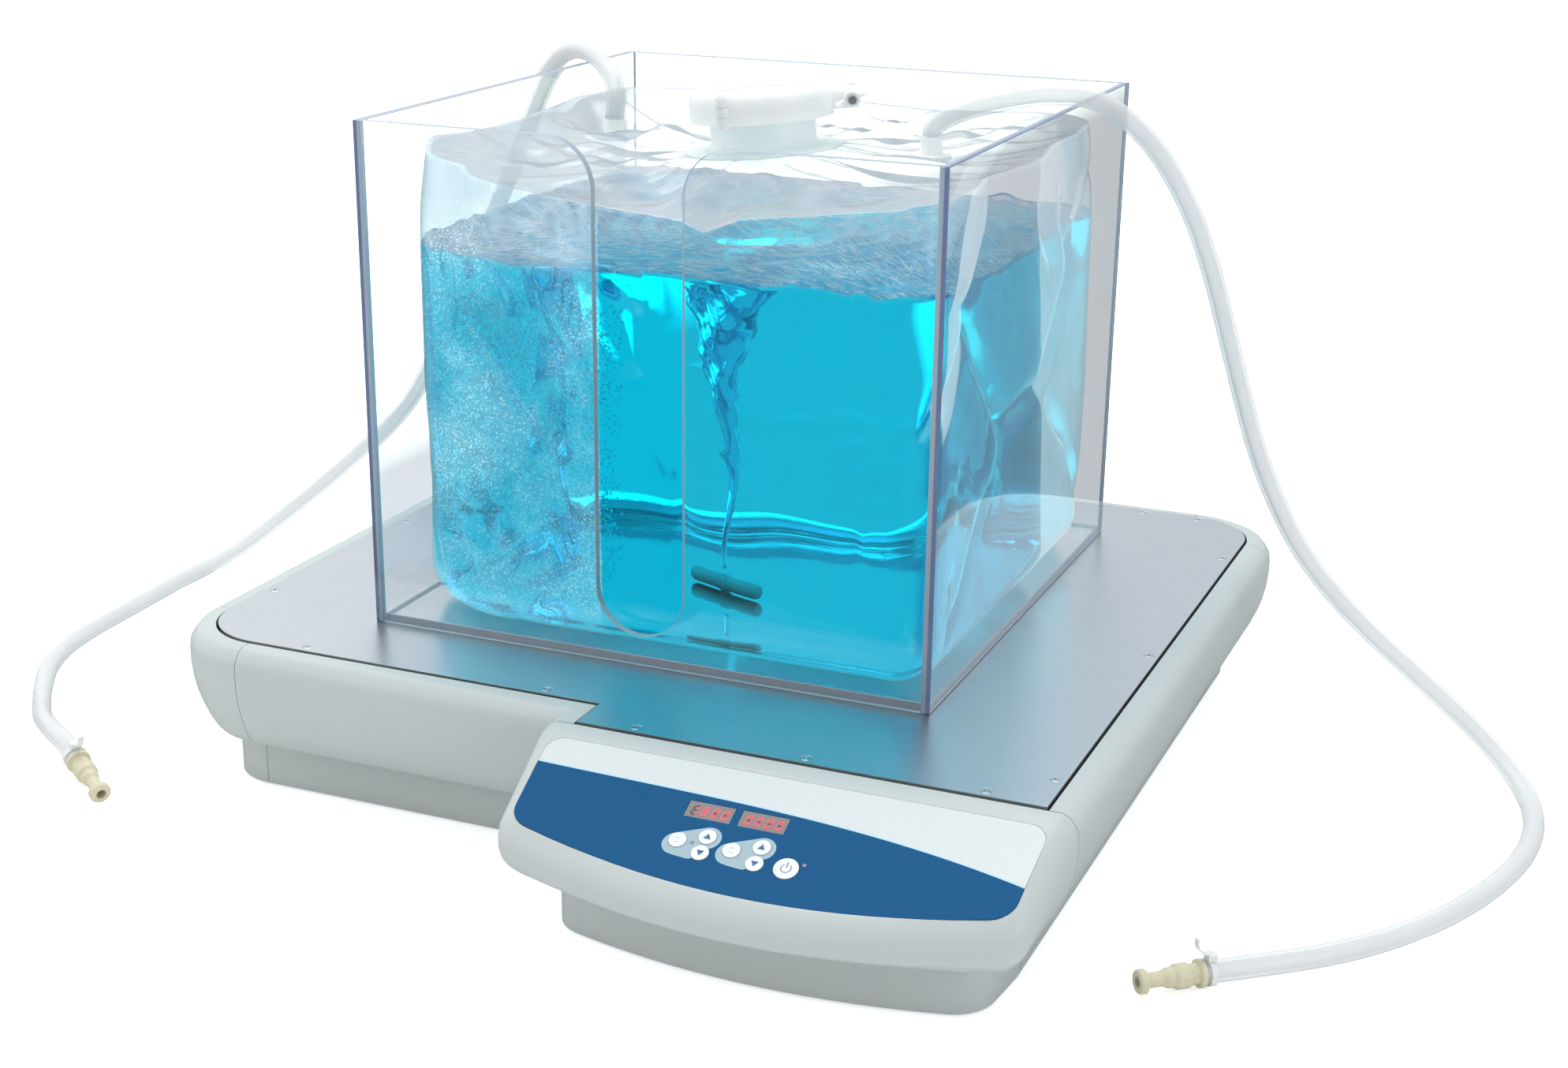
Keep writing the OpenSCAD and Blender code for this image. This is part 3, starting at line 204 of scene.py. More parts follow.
def feed(shader, **sockets):
    """Links sockets to a shader's inputs."""
    for key, socket in sockets.items():
        shader.id_data.links.new(socket, shader.inputs[key.replace("_", " ")])


def noise(tree, place, scale, detail=2.0, roughness=0.5, distortion=0.0):
    """Clouds of a value between 0 and 1."""
    return node(tree, "ShaderNodeTexNoise", {
        "Vector": place, "Scale": scale, "Detail": detail, "Roughness": roughness,
        "Distortion": distortion}).outputs["Fac"]


def bumped(tree, height, distance, strength=1.0):
    """Normals of a surface that a value raises by a distance."""
    return node(tree, "ShaderNodeBump", {"Height": height, "Distance": distance,
                                         "Strength": strength}).outputs[0]


table_mesh = bpy.data.meshes.new("table")
reach = 30
table_mesh.from_pydata([(-reach, -reach, 0), (reach, -reach, 0), (reach, reach, 0), (-reach, reach, 0)],
                       [], [(0, 1, 2, 3)])
table = in_scene("table", table_mesh)
table_top, tree, paint = finish("pale_table", Roughness=0.9, Emission_Color=(1, 1, 1, 1))
cloud = node(tree, "ShaderNodeTexNoise", {"Scale": 3.0, "Detail": 3.0}).outputs["Fac"]
clear_view, rays = seen_through(tree)
# It glows where it is looked at, throws less light up at the base and is dull in mirrors
feed(paint, Base_Color=ramp(tree, cloud, [(0.3, (0.93, 0.93, 0.93)), (0.7, (0.96, 0.96, 0.96))]),
     Emission_Strength=maths(tree, "MULTIPLY_ADD", rays["Is Diffuse Ray"], -0.45, 0.55))
dull = node(tree, "ShaderNodeBsdfDiffuse", {"Color": (0.10, 0.11, 0.125, 1)})
# Seen through the clear pieces it shows painted light instead, brighter far to the left
far_left = ranged(tree, node(tree, "ShaderNodeSeparateXYZ", {0: own_place(tree)}).outputs["X"], -0.50, -0.62)
lit = node(tree, "ShaderNodeEmission", {"Color": blended(tree, far_left, through_light, through_left)})
in_mirror = node(tree, "ShaderNodeMixShader", {
    0: rays["Is Glossy Ray"], 1: paint.outputs[0], 2: dull.outputs[0]})
in_view = node(tree, "ShaderNodeMixShader", {0: clear_view, 1: in_mirror.outputs[0], 2: lit.outputs[0]})
tree.links.new(in_view.outputs[0], tree.nodes["Material Output"].inputs["Surface"])
table_mesh.materials.append(table_top)

# ---- Hoses --------------------------------------------------------------------------------
# Two silicone hoses, 12 mm outside and 8 mm inside, one from each port on the bag. They hang
# over the holder's edges, run out over the base and lie on the table with their ends forward.
left_points = [
    (-128, 110, 366), (-128, 112, 378), (-134, 121, 389), (-146, 133, 396), (-159, 145, 400),
    (-173, 157, 401.5), (-187, 168, 400), (-203, 179, 393), (-218, 187, 379), (-232, 194, 358),
    (-248, 201, 328), (-270, 207, 286), (-294, 212, 241), (-321, 215, 187), (-349, 216, 138),
    (-375, 215, 107), (-402, 210, 81), (-431, 200, 54), (-458, 186, 30), (-476, 163, 13),
    (-484, 132, 6.4), (-484, 96, 6.2), (-482, 60, 6.2), (-480, 24, 6.2), (-478, -12, 6.2),
    (-472, -48, 6.2), (-459, -82, 6.2), (-440, -112, 6.4), (-417, -142, 9), (-391, -172, 15),
    (-366, -194, 20), (-343, -210, 21.5), (-326, -220, 17)]
right_points = [
    (97, 77, 375.5), (98.5, 77.5, 381.5), (107, 79, 387.5), (120, 82, 393), (137, 87, 397.5),
    (155, 92, 400.8), (173, 98, 401.6), (190, 102, 398.5), (206, 107, 388.5), (221, 111, 374),
    (235, 115, 354), (248, 119, 329), (260, 124, 296), (270, 128, 262), (281, 132, 225),
    (291, 134, 195), (303, 137, 166), (320, 140, 135), (341, 142, 109), (365, 144, 86),
    (390, 145, 66), (415, 145, 47), (437, 141, 31), (457, 131, 17), (472, 111, 8),
    (480, 82, 6.2), (482, 50, 6.2), (478, 14, 6.2), (467, -26, 6.2), (450, -66, 6.2),
    (428, -102, 6.2), (403, -132, 6.4), (376, -157, 7), (346, -183, 7.9)]


def run_along(points):
    """The distance along a line of points, at each of them."""
    return np.concatenate([[0], np.cumsum(np.linalg.norm(np.diff(points, axis=0), axis=1))])


def at_places(places, run, points):
    """What stands at some distances along a line of points."""
    return np.stack([np.interp(places, run, column) for column in points.T], axis=1)


def smooth_route(points, step):
    """Places a step apart on a smooth curve through the given points, in metres."""
    p = np.array(points, float) / 1000
    p = np.vstack([2 * p[0] - p[1], p, 2 * p[-1] - p[-2]])
    t = np.linspace(0, 1, 16, endpoint=False)[:, None]
    fine = np.vstack([
        0.5 * (2 * b + (c - a) * t + (2 * a - 5 * b + 4 * c - d) * t ** 2 + (3 * b - a - 3 * c + d) * t ** 3)
        for a, b, c, d in zip(p, p[1:], p[2:], p[3:])] + [p[-2:-1]])
    run = run_along(fine)
    return at_places(np.linspace(0, run[-1], max(2, round(run[-1] / step))), run, fine)


def sides_along(route):
    """At each place of a route, two sides square to it that don't twist."""
    ahead_of = np.gradient(route, axis=0)
    ahead_of /= np.linalg.norm(ahead_of, axis=1)[:, None]
    side, sides = np.array((1.0, 0.0, 0.0)), []
    for t in ahead_of:
        side = side - t * (side @ t)
        side /= np.linalg.norm(side)
        sides.append(side)
    sides = np.array(sides)
    return sides, np.cross(ahead_of, sides)


def mesh_piece(name, points, faces, material=None, smooth=True):
    """An object at the origin from points and faces."""
    mesh = bpy.data.meshes.new(name)
    mesh.from_pydata([tuple(p) for p in points], [], [tuple(f) for f in faces])
    mesh.validate()
    mesh.shade_smooth()
    if not smooth:
        mesh.shade_flat()
    if material:
        mesh.materials.append(material)
    return in_scene(name, mesh)


def band(first, second, n):
    """Faces between two closed rings of n points."""
    return [(first + i, first + (i + 1) % n, second + (i + 1) % n, second + i) for i in range(n)]


def hollow_tube(name, route, outer, inner, sides, material):
    """A tube with a bore along a route, its ends cut square."""
    side, other = sides_along(route)
    turn = np.arange(sides) * 2 * math.pi / sides
    around = side[:, None, :] * np.cos(turn)[:, None] + other[:, None, :] * np.sin(turn)[:, None]
    outside, inside = ((route[:, None, :] + r * around).reshape(-1, 3) for r in (outer, inner))
    n, count = len(route), len(outside)
    faces = []
    for k in range(n - 1):
        faces += band(k * sides, (k + 1) * sides, sides)
        faces += [f[::-1] for f in band(count + k * sides, count + (k + 1) * sides, sides)]
    faces += [f[::-1] for f in band(0, count, sides)]
    faces += band((n - 1) * sides, count + (n - 1) * sides, sides)
    return mesh_piece(name, np.vstack([outside, inside]), faces, material)


def new_group(name, inputs, outputs):
    """An empty shader group with named sockets, its tree, its input node and its output node."""
    tree = bpy.data.node_groups.new(name, "ShaderNodeTree")
    kinds = {"f": "NodeSocketFloat", "v": "NodeSocketVector", "c": "NodeSocketColor"}
    for way, sockets in (("INPUT", inputs), ("OUTPUT", outputs)):
        for key, kind in sockets.items():
            tree.interface.new_socket(key, in_out=way, socket_type=kinds[kind])
    return tree, tree.nodes.new("NodeGroupInput").outputs, tree.nodes.new("NodeGroupOutput").inputs


# Fine grain of a moulded or extruded surface: slow clouds of colour and a fine orange-peel bump
grain, g_in, g_out = new_group(
    "moulded_grain",
    {"Place": "v", "Grain Size": "f", "Depth": "f", "Colour": "c", "Shade": "c", "Gloss": "f"},
    {"Colour": "c", "Roughness": "f", "Normal": "v"})
fine = noise(grain, g_in["Place"], maths(grain, "DIVIDE", 1.0, g_in["Grain Size"]), 2.0, 0.6)
slow = noise(grain, g_in["Place"], 14.0, 3.0)
share = maths(grain, "ADD", maths(grain, "MULTIPLY", slow, 0.8), maths(grain, "MULTIPLY", fine, 0.2))
grain.links.new(blended(grain, share, g_in["Colour"], g_in["Shade"]), g_out["Colour"])
grain.links.new(maths(grain, "MULTIPLY_ADD", slow, 0.12, g_in["Gloss"]), g_out["Roughness"])
grain.links.new(bumped(grain, fine, g_in["Depth"]), g_out["Normal"])


def grained(tree, shader, colour, shade, gloss, size, depth):
    """Puts the moulded grain on a shader."""
    group = node(tree, "ShaderNodeGroup", {
        "Place": own_place(tree), "Grain Size": size, "Depth": depth, "Colour": (*colour, 1),
        "Shade": (*shade, 1), "Gloss": gloss}, node_tree=grain).outputs
    feed(shader, Base_Color=group["Colour"], Roughness=group["Roughness"], Normal=group["Normal"])
    return group


def plain_finish(name, colour, shade, gloss, size, depth, **plain):
    """A grained material: its two colours, its roughness, and its grain's size and depth."""
    made, tree, shader = finish(name, **plain)
    grained(tree, shader, colour, shade, gloss, size, depth)
    return made


silicone, tree, shader = finish("clear_silicone", IOR=1.41)
grained(tree, shader, (0.85, 0.87, 0.88), (0.78, 0.80, 0.81), 0.16, 0.0022, 0.00004)
# Each wall of the tube lets most light through, less where it is seen edge on
edge_on = node(tree, "ShaderNodeLayerWeight", {"Blend": 0.35}).outputs["Facing"]
feed(shader, Alpha=maths(tree, "MULTIPLY_ADD", edge_on, 0.45, 0.36))

hose_r, bore_r, route_step, hose_sides = 0.006, 0.004, 0.004, 20
# The middle line keeps the hose's radius inside the part's box
hose_box = [np.array(corner) + side * hose_r for corner, side in zip(cad_box, (1, -1))]
left_route, right_route = (
    np.clip(smooth_route(points, route_step), *hose_box) for points in (left_points, right_points))
left_tube = hollow_tube("left_hose_tube", left_route, hose_r, bore_r, hose_sides, silicone)
right_tube = hollow_tube("right_hose_tube", right_route, hose_r, bore_r, hose_sides, silicone)
for tube, replaced in ((left_tube, "left_hose"), (right_tube, "right_hose")):
    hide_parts(replaced)
    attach(tube, "bag")

# ---- Pan, feet and drive ------------------------------------------------------------------
# A folded and painted steel pan carries everything and stands on five rubber feet. In it are
# the magnetic drive, four copper coils on an iron yoke, the power supply and the mains inlet.
def in_finish(name, made):
    """Gives a CAD solid its finish."""
    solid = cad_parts[name]
    solid.data.materials.clear()
    solid.data.materials.append(made)


for solids, slot, name, colour, shade, gloss, size, depth, metal in (
        (["base_pan"], "pan_steel", "pan_paint",
         (0.26, 0.28, 0.31), (0.22, 0.24, 0.27), 0.35, 0.0009, 0.00002, 0.0),
        (["rubber_feet"], "foot_rubber", "foot_rubber",
         (0.013, 0.013, 0.014), (0.024, 0.024, 0.025), 0.6, 0.0007, 0.00005, 0.0),
        (["drive_yoke", "coil_cores"], "core_iron", "core_iron",
         (0.10, 0.105, 0.115), (0.06, 0.06, 0.07), 0.5, 0.0012, 0.00006, 0.8),
        (["power_supply"], "supply_case", "supply_case",
         (0.50, 0.51, 0.52), (0.44, 0.45, 0.46), 0.3, 0.0006, 0.00001, 0.9),
        (["power_inlet"], "inlet_black", "inlet_black",
         (0.008, 0.008, 0.009), (0.014, 0.014, 0.015), 0.35, 0.0006, 0.00002, 0.0),
        (["control_board"], "board_green", "board_green",
         (0.010, 0.12, 0.035), (0.014, 0.16, 0.05), 0.3, 0.002, 0.00001, 0.0),
        (["base_screws"], "screw_steel", "base_screw_zinc",
         (0.55, 0.56, 0.57), (0.45, 0.46, 0.47), 0.28, 0.0005, 0.00001, 1.0)):
    made = plain_finish(name, colour, shade, gloss, size, depth, Metallic=metal)
    for solid in solids:
        in_finish(solid, made)

# Enamelled wire: fine rings of copper wound round each core, darker between the turns with painted shade in
# the grooves
copper, tree, shader = finish("coil_copper", Metallic=0.9, Roughness=0.3, Coat_Weight=0.5, Coat_Roughness=0.1)
wire = node(tree, "ShaderNodeTexWave", {
    "Vector": own_place(tree), "Scale": 160.0, "Distortion": 0.6, "Detail": 1.0},
    wave_type="BANDS", bands_direction="Z").outputs["Fac"]
copper_with_painted_groove_shade = ramp(tree, wire, [(0.0, (0.20, 0.06, 0.02)), (0.5, (0.62, 0.23, 0.09)), (1.0, (0.75, 0.32, 0.14))])
feed(shader, Base_Color=copper_with_painted_groove_shade, Normal=bumped(tree, wire, 0.0005))
in_finish("drive_coils", copper)

# ---- Surround and control housing ---------------------------------------------------------
# Eight injection mouldings in light grey plastic close the base: straight rails, rounded corners
# and the sloping housing. They screw to the pan from below and meet in narrow straight seams.
def smoothed(name, piece_name, angle, made, body="base"):
    """A merged copy of a CAD solid, smooth over its gentle edges, that stands for the solid."""
    weld, least_edge = 2e-6, 1e-6
    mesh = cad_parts[name].data.copy()
    mesh.name = piece_name
    mesh.attributes.remove(mesh.attributes["custom_normal"])
    edit = bmesh.new()
    edit.from_mesh(mesh)
    bmesh.ops.remove_doubles(edit, verts=edit.verts, dist=weld)
    bmesh.ops.dissolve_degenerate(edit, edges=edit.edges, dist=least_edge)
    edit.to_mesh(mesh)
    edit.free()
    mesh.shade_smooth()
    mesh.set_sharp_from_angle(angle=math.radians(angle))
    mesh.materials.clear()
    mesh.materials.append(made)
    piece = in_scene(piece_name, mesh)
    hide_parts(name)
    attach(piece, body)
    return piece


moulding = plain_finish("moulded_grey", (0.575, 0.620, 0.612), (0.545, 0.590, 0.582), 0.34, 0.0008,
                        0.00002, Specular_IOR_Level=0.42)
for rail in ("front_rail", "left_rail", "back_rail", "right_rail", "corner_front_left",
             "corner_back_left", "corner_back_right", "control_housing"):
    smoothed(rail, rail + "_moulding", 32, moulding)

# ---- Top plate ----------------------------------------------------------------------------
# One sheet of brushed stainless steel, laser cut, let into the surround with a narrow dark gap.
# It steps forward over the control housing. Fifteen small countersunk screws hold it.
steel, tree, shader = finish("brushed_steel", Metallic=1.0, Anisotropic=0.35)
place = own_place(tree)
stretched = node(tree, "ShaderNodeMapping", {"Vector": place, "Scale": (30.0, 2600.0, 30.0)}).outputs[0]
lines = noise(tree, stretched, 1.0, 4.0, 0.7)
smears = noise(tree, place, 7.0, 4.0, 0.55)
rough = maths(tree, "MULTIPLY_ADD", smears, 0.10, 0.20)
feed(shader, Base_Color=ramp(tree, lines, [(0.25, (0.55, 0.58, 0.61)), (0.75, (0.69, 0.72, 0.745))]),
     Roughness=maths(tree, "MULTIPLY_ADD", lines, 0.10, rough), Normal=bumped(tree, lines, 0.00002, 0.6),
     Tangent=node(tree, "ShaderNodeCombineXYZ", {"X": 1.0}).outputs[0])
smoothed("top_plate", "top_plate_sheet", 30, steel)

# ---- Plate screws -------------------------------------------------------------------------
# Fifteen M3 stainless screws with flat heads and cross recesses, turned home by hand, so that
# each recess lies at its own angle. The heads sit flush with the plate.
screw_r, screw_l = 0.0015, 0.0075
head_r = 2 * screw_r
heads = [v.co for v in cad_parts["plate_screws"].data.vertices]
screw_top = max(co.z for co in heads)
heads = [co for co in heads if co.z > screw_top - 1e-5]
screw_places = []
while heads:
    own = [co for co in heads if (co - heads[0]).length < 1.5 * head_r]
    own = [co for co in heads if min((co - other).length for other in own) < 1.5 * head_r]
    middle = sum(own, Vector()) / len(own)
    screw_places.append((middle.x, middle.y))
    heads = [co for co in heads if (co - middle).length > 1.5 * head_r]


def screw_shape():
    """One screw at the origin, its flat head's top at z = 0, with a cross cut into it."""
    n, bevel = 32, 0.0001
    rings = [(screw_r, -screw_l), (screw_r, -screw_r), (head_r - bevel, -bevel), (head_r - 3 * bevel, 0.0)]
    points = [(0, 0, -screw_l)]
    for r, z in rings:
        points += [(r * math.cos(a), r * math.sin(a), z) for a in (2 * math.pi * i / n for i in range(n))]
    faces = [(0, 1 + (i + 1) % n, 1 + i) for i in range(n)]
    for k in range(len(rings) - 1):
        faces += band(1 + k * n, 1 + (k + 1) * n, n)
    # Cross recess: a plus-shaped pit that narrows to its floor
    arm, half, deep, narrowed = 0.0014, 0.00035, 0.0008, 0.6
    plus = [(half, half), (half, arm), (-half, arm), (-half, half), (-arm, half), (-arm, -half),
            (-half, -half), (-half, -arm), (half, -arm), (half, -half), (arm, -half), (arm, half)]
    start, corners = len(points), len(plus)
    points += [(x, y, 0) for x, y in plus]
    points += [(x * narrowed, y * narrowed, -deep) for x, y in plus]
    faces += band(start, start + corners, corners)
    faces.append(tuple(start + corners + i for i in range(corners)))
    mesh = bpy.data.meshes.new("screw_shape")
    mesh.from_pydata(points, [], faces)
    edit = bmesh.new()
    edit.from_mesh(mesh)
    edit.verts.ensure_lookup_table()
    loops = []
    for first, count in ((start - n, n), (start, corners)):
        loop = [edit.verts[first + i] for i in range(count)]
        loops += [edit.edges.get((loop[i], loop[(i + 1) % count])) for i in range(count)]
    bmesh.ops.triangle_fill(edit, use_beauty=True, edges=loops)
    bmesh.ops.recalc_face_normals(edit, faces=edit.faces)
    edit.to_mesh(mesh)
    edit.free()
    return in_scene("screw_shape", mesh)


def geometry_tree(name, **inputs):
    """An empty Geometry Nodes tree with named inputs, each of a kind, and one mesh out."""
    tree = bpy.data.node_groups.new(name, "GeometryNodeTree")
    for key, kind in inputs.items():
        tree.interface.new_socket(key.replace("_", " "), in_out="INPUT", socket_type="NodeSocket" + kind)
    tree.interface.new_socket("Geometry", in_out="OUTPUT", socket_type="NodeSocketGeometry")
    return tree, tree.nodes.new("NodeGroupInput").outputs, tree.nodes.new("NodeGroupOutput").inputs


def grown(piece, tree, values):
    """Runs a tree on an object with named values and keeps the result as its plain mesh."""
    modifier = piece.modifiers.new(tree.name, "NODES")
    modifier.node_group = tree
    names = {s.name: s.identifier for s in tree.interface.items_tree
             if s.item_type == "SOCKET" and s.in_out == "INPUT"}
    for key, value in values.items():
        modifier[names[key]] = value
    bpy.context.view_layer.update()
    result = bpy.data.meshes.new_from_object(piece.evaluated_get(bpy.context.evaluated_depsgraph_get()))
    piece.modifiers.clear()
    result.name = piece.name
    piece.data = result
    return piece


screw_metal = plain_finish("plate_screw_steel", (0.62, 0.63, 0.65), (0.50, 0.51, 0.53), 0.16, 0.0004,
                           0.000005, Metallic=1.0)
screwed, g_in, g_out = geometry_tree(
    "screws_in_places", Geometry="Geometry", Screw="Object", Turn_Seed="Int", Finish="Material")
one_screw = node(screwed, "GeometryNodeObjectInfo", {"Object": g_in["Screw"]}, transform_space="ORIGINAL")
turned = node(screwed, "FunctionNodeRandomValue", {3: 3.14, "Seed": g_in["Turn Seed"]}, data_type="FLOAT")
spin = node(screwed, "ShaderNodeCombineXYZ", {"Z": turned.outputs[1]})
placed = node(screwed, "GeometryNodeInstanceOnPoints", {
    "Points": g_in["Geometry"], "Instance": one_screw.outputs["Geometry"], "Rotation": spin.outputs[0]})
real = node(screwed, "GeometryNodeRealizeInstances", {0: placed.outputs[0]})
dressed = node(screwed, "GeometryNodeSetMaterial", {"Geometry": real.outputs[0], "Material": g_in["Finish"]})
screwed.links.new(dressed.outputs[0], g_out["Geometry"])

screw = screw_shape()
screws = mesh_piece("plate_screw_set", [(x, y, screw_top) for x, y in screw_places], [], None)
grown(screws, screwed, {"Screw": screw, "Turn Seed": 3, "Finish": screw_metal})
bpy.data.objects.remove(screw)
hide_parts("plate_screws")
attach(screws, "base")

# ---- Keypad label -------------------------------------------------------------------------
# A printed polycarbonate label, let into the housing's sloping face: white above a bowed line
# and blue below it, with pale islands behind the two groups of keys. Its words are left off.
face_turn = math.radians(25)
face_zero = Vector((0.135, -0.2145, 0.095))
key_u, key_v, mode_du, pair_dv, group_du = -0.0277, -0.060, -0.0146, 0.00535, 0.0298
power_u, power_v = 0.0189, -0.0645


def on_face(u, v, out=0.0):
    """A place on the sloping face: across, up the slope and out of it."""
    return face_zero + Vector((u, v * math.cos(face_turn) - out * math.sin(face_turn),
                               v * math.sin(face_turn) + out * math.cos(face_turn)))


pill, g_in, g_out = new_group(
    "printed_island", {"Place": "v", "From": "v", "To": "v", "Radius": "f", "Soft": "f"}, {"Mask": "f"})


def vectors(tree, operation, first, second):
    """The result of one sum with two vectors."""
    made = node(tree, "ShaderNodeVectorMath", {0: first, 1: second}, operation=operation)
    return made.outputs["Value" if operation in ("DOT_PRODUCT", "DISTANCE") else "Vector"]


along = vectors(pill, "SUBTRACT", g_in["To"], g_in["From"])
away = vectors(pill, "SUBTRACT", g_in["Place"], g_in["From"])
share = maths(pill, "DIVIDE", vectors(pill, "DOT_PRODUCT", away, along),
              vectors(pill, "DOT_PRODUCT", along, along), clamp=True)
foot = node(pill, "ShaderNodeVectorMath", {0: along, "Scale": share}, operation="SCALE").outputs[0]
inside = maths(pill, "SUBTRACT", g_in["Radius"], vectors(pill, "DISTANCE", away, foot))
inside = maths(pill, "ADD", maths(pill, "DIVIDE", inside, g_in["Soft"]), 0.5, clamp=True)
pill.links.new(inside, g_out["Mask"])

label, tree, shader = finish("printed_label", Specular_IOR_Level=0.05)
place = own_place(tree)
# The face's own frame: across, up the slope and out of it
moved = vectors(tree, "SUBTRACT", place, tuple(face_zero))
flat = node(tree, "ShaderNodeVectorRotate", {"Vector": moved, "Angle": -face_turn}, rotation_type="X_AXIS")
axes = node(tree, "ShaderNodeSeparateXYZ", {0: flat.outputs[0]}).outputs
plane = node(tree, "ShaderNodeCombineXYZ", {"X": axes["X"], "Y": axes["Y"]}).outputs[0]
# The bowed line between the white and the blue is a curve of the third degree
line = -0.02977
for power, factor in ((1, -0.05129), (2, -0.37138), (3, -1.42189)):
    line = maths(tree, "MULTIPLY_ADD", maths(tree, "POWER", axes["X"], float(power)), factor, line)
below = maths(tree, "SUBTRACT", line, axes["Y"])
blue_part = ranged(tree, below, -0.00012, 0.00012)
cyan_line = ranged(tree, maths(tree, "ABSOLUTE", below), 0.0004, 0.0006, 1.0, 0.0)
ink = noise(tree, place, 900.0)
blue = ramp(tree, ink, [(0.3, (0.006, 0.092, 0.236)), (0.7, (0.009, 0.104, 0.258))])
white = ramp(tree, ink, [(0.3, (0.72, 0.765, 0.77)), (0.7, (0.76, 0.80, 0.80))])
print_colour = blended(tree, blue_part, white, blue)
print_colour = blended(tree, cyan_line, print_colour, (0.55, 0.80, 0.90, 1))


def island(start, end, radius):
    """The mask of one printed pill between two places."""
    return node(tree, "ShaderNodeGroup", {
        "Place": plane, "From": (*start, 0), "To": (*end, 0), "Radius": radius, "Soft": 0.00025},
        node_tree=pill).outputs["Mask"]


# Each island is the union of three pills, with a pale line round it
for grow, colour in ((0.0004, (0.42, 0.66, 0.78, 1)), (0.0, (0.42, 0.54, 0.60, 1))):
    mask = 0.0
    for u in (key_u, key_u + group_du):
        for start, end, radius in (
                ((u + mode_du - 0.0005, key_v - 0.0022), (u + 0.0004, key_v + pair_dv - 0.0005), 0.0066),
                ((u + mode_du + 0.0015, key_v - 0.0042), (u - 0.0060, key_v - 0.0048), 0.0050),
                ((u - 0.0010, key_v + 0.0040), (u - 0.0070, key_v - 0.0030), 0.0060)):
            mask = maths(tree, "MAXIMUM", mask, island(start, end, radius + grow))
    print_colour = blended(tree, mask, print_colour, colour)
feed(shader, Base_Color=print_colour, Roughness=ranged(tree, ink, 0.0, 1.0, 0.30, 0.42),
     Normal=bumped(tree, ink, 0.00001))
smoothed("keypad_label", "keypad_label_print", 30, label)

# ---- Displays and lamps -------------------------------------------------------------------
# Two four-digit red displays behind smoked windows, with slanted seven-part digits, and two
# small indicator lamps. All of them stand on the circuit board and look through the label.
smoked = plain_finish("smoked_window", (0.020, 0.005, 0.008), (0.028, 0.006, 0.010), 0.10, 0.0010,
                      0.000002, Coat_Weight=0.6)
for window in ("speed_display", "time_display"):
    in_finish(window, smoked)
dark_lens = plain_finish("dark_lens", (0.035, 0.060, 0.085), (0.05, 0.08, 0.11), 0.12, 0.0006, 0.000003,
                         Coat_Weight=0.7)
in_finish("status_leds", dark_lens)

segments = []
for name, strength, low, high in (("red_segments", 0.75, (0.62, 0.020, 0.045), (0.82, 0.045, 0.080)),
                                  ("unlit_segments", 0.0, (0.07, 0.006, 0.014), (0.09, 0.008, 0.018))):
    made, tree, shader = finish(name, Roughness=0.4, Emission_Strength=strength)
    red = ramp(tree, noise(tree, own_place(tree), 1500.0), [(0.3, low), (0.7, high)])
    feed(shader, Base_Color=red)
    if strength:
        feed(shader, Emission_Color=red)
    segments.append(made)

digit_w, digit_h, digit_step, digits_v, part_t, slant = 0.0036, 0.0066, 0.0056, -0.0389, 0.00095, 0.17
# Each part of a digit as its two ends, in halves of the digit's width and quarters of its height
parts = [((-1, 2), (1, 2)), ((1, 2), (1, 0)), ((1, 0), (1, -2)), ((1, -2), (-1, -2)),
         ((-1, -2), (-1, 0)), ((-1, 0), (-1, 2)), ((-1, 0), (1, 0))]
lit_parts = {"0": (0, 1, 2, 3, 4, 5), "1": (1, 2), "8": (0, 1, 2, 3, 4, 5, 6)}


def digit_parts(text, middle_u, lit_ones):
    """The points and faces of a display's lit or unlit parts, a hair behind the label's face."""
    points, faces = [], []
    for k, sign in enumerate(text):
        u0 = middle_u + (k - 1.5) * digit_step + 0.0004
        for p, ends in enumerate(parts):
            if (p in lit_parts[sign]) != lit_ones:
                continue
            a, b = (np.array(e, float) * (digit_w / 2 - part_t / 2, digit_h / 4 - part_t / 4) for e in ends)
            t = (b - a) / np.linalg.norm(b - a)
            s = np.array((-t[1], t[0])) * part_t / 2
            a, b, tip = a + t * part_t * 0.14, b - t * part_t * 0.14, t * part_t / 2
            ring = [a, a + tip + s, b - tip + s, b, b - tip - s, a + tip - s]
            start = len(points)
            points += [on_face(u0 + x + slant * y, digits_v + y, -0.00012) for x, y in ring]
            faces.append([start + i for i in range(5, -1, -1)])
    return points, faces


for name, text, u in (("speed_digits", "1800", -0.0332), ("time_digits", "0000", -0.0034)):
    for lit_ones, made, end in ((True, segments[0], ""), (False, segments[1], "_unlit")):
        digits = mesh_piece(name + end, *digit_parts(text, u, lit_ones), made, smooth=False)
        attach(digits, "base")

# ---- Keys ---------------------------------------------------------------------------------
# Round white caps that stand a little above the label, each on its stem. The up and down keys
# carry blue triangles, the mode keys two faint bars and the power key its round mark.
key_white = plain_finish("key_white", (0.86, 0.88, 0.88), (0.80, 0.83, 0.83), 0.30, 0.0005, 0.000006)
key_ink, pale_ink, power_ink = (
    plain_finish(name, colour, shade, 0.45, 0.0004, 0.000004) for name, colour, shade in (
        ("key_ink", (0.022, 0.115, 0.27), (0.03, 0.13, 0.30)),
        ("pale_key_ink", (0.62, 0.66, 0.64), (0.56, 0.60, 0.58)),
        ("power_key_ink", (0.20, 0.30, 0.38), (0.25, 0.36, 0.44))))
for key in ("speed_mode_key", "speed_up_key", "speed_down_key", "time_mode_key", "time_up_key",
            "time_down_key", "power_key"):
    smoothed(key, key + "_cap", 40, key_white, body=key)


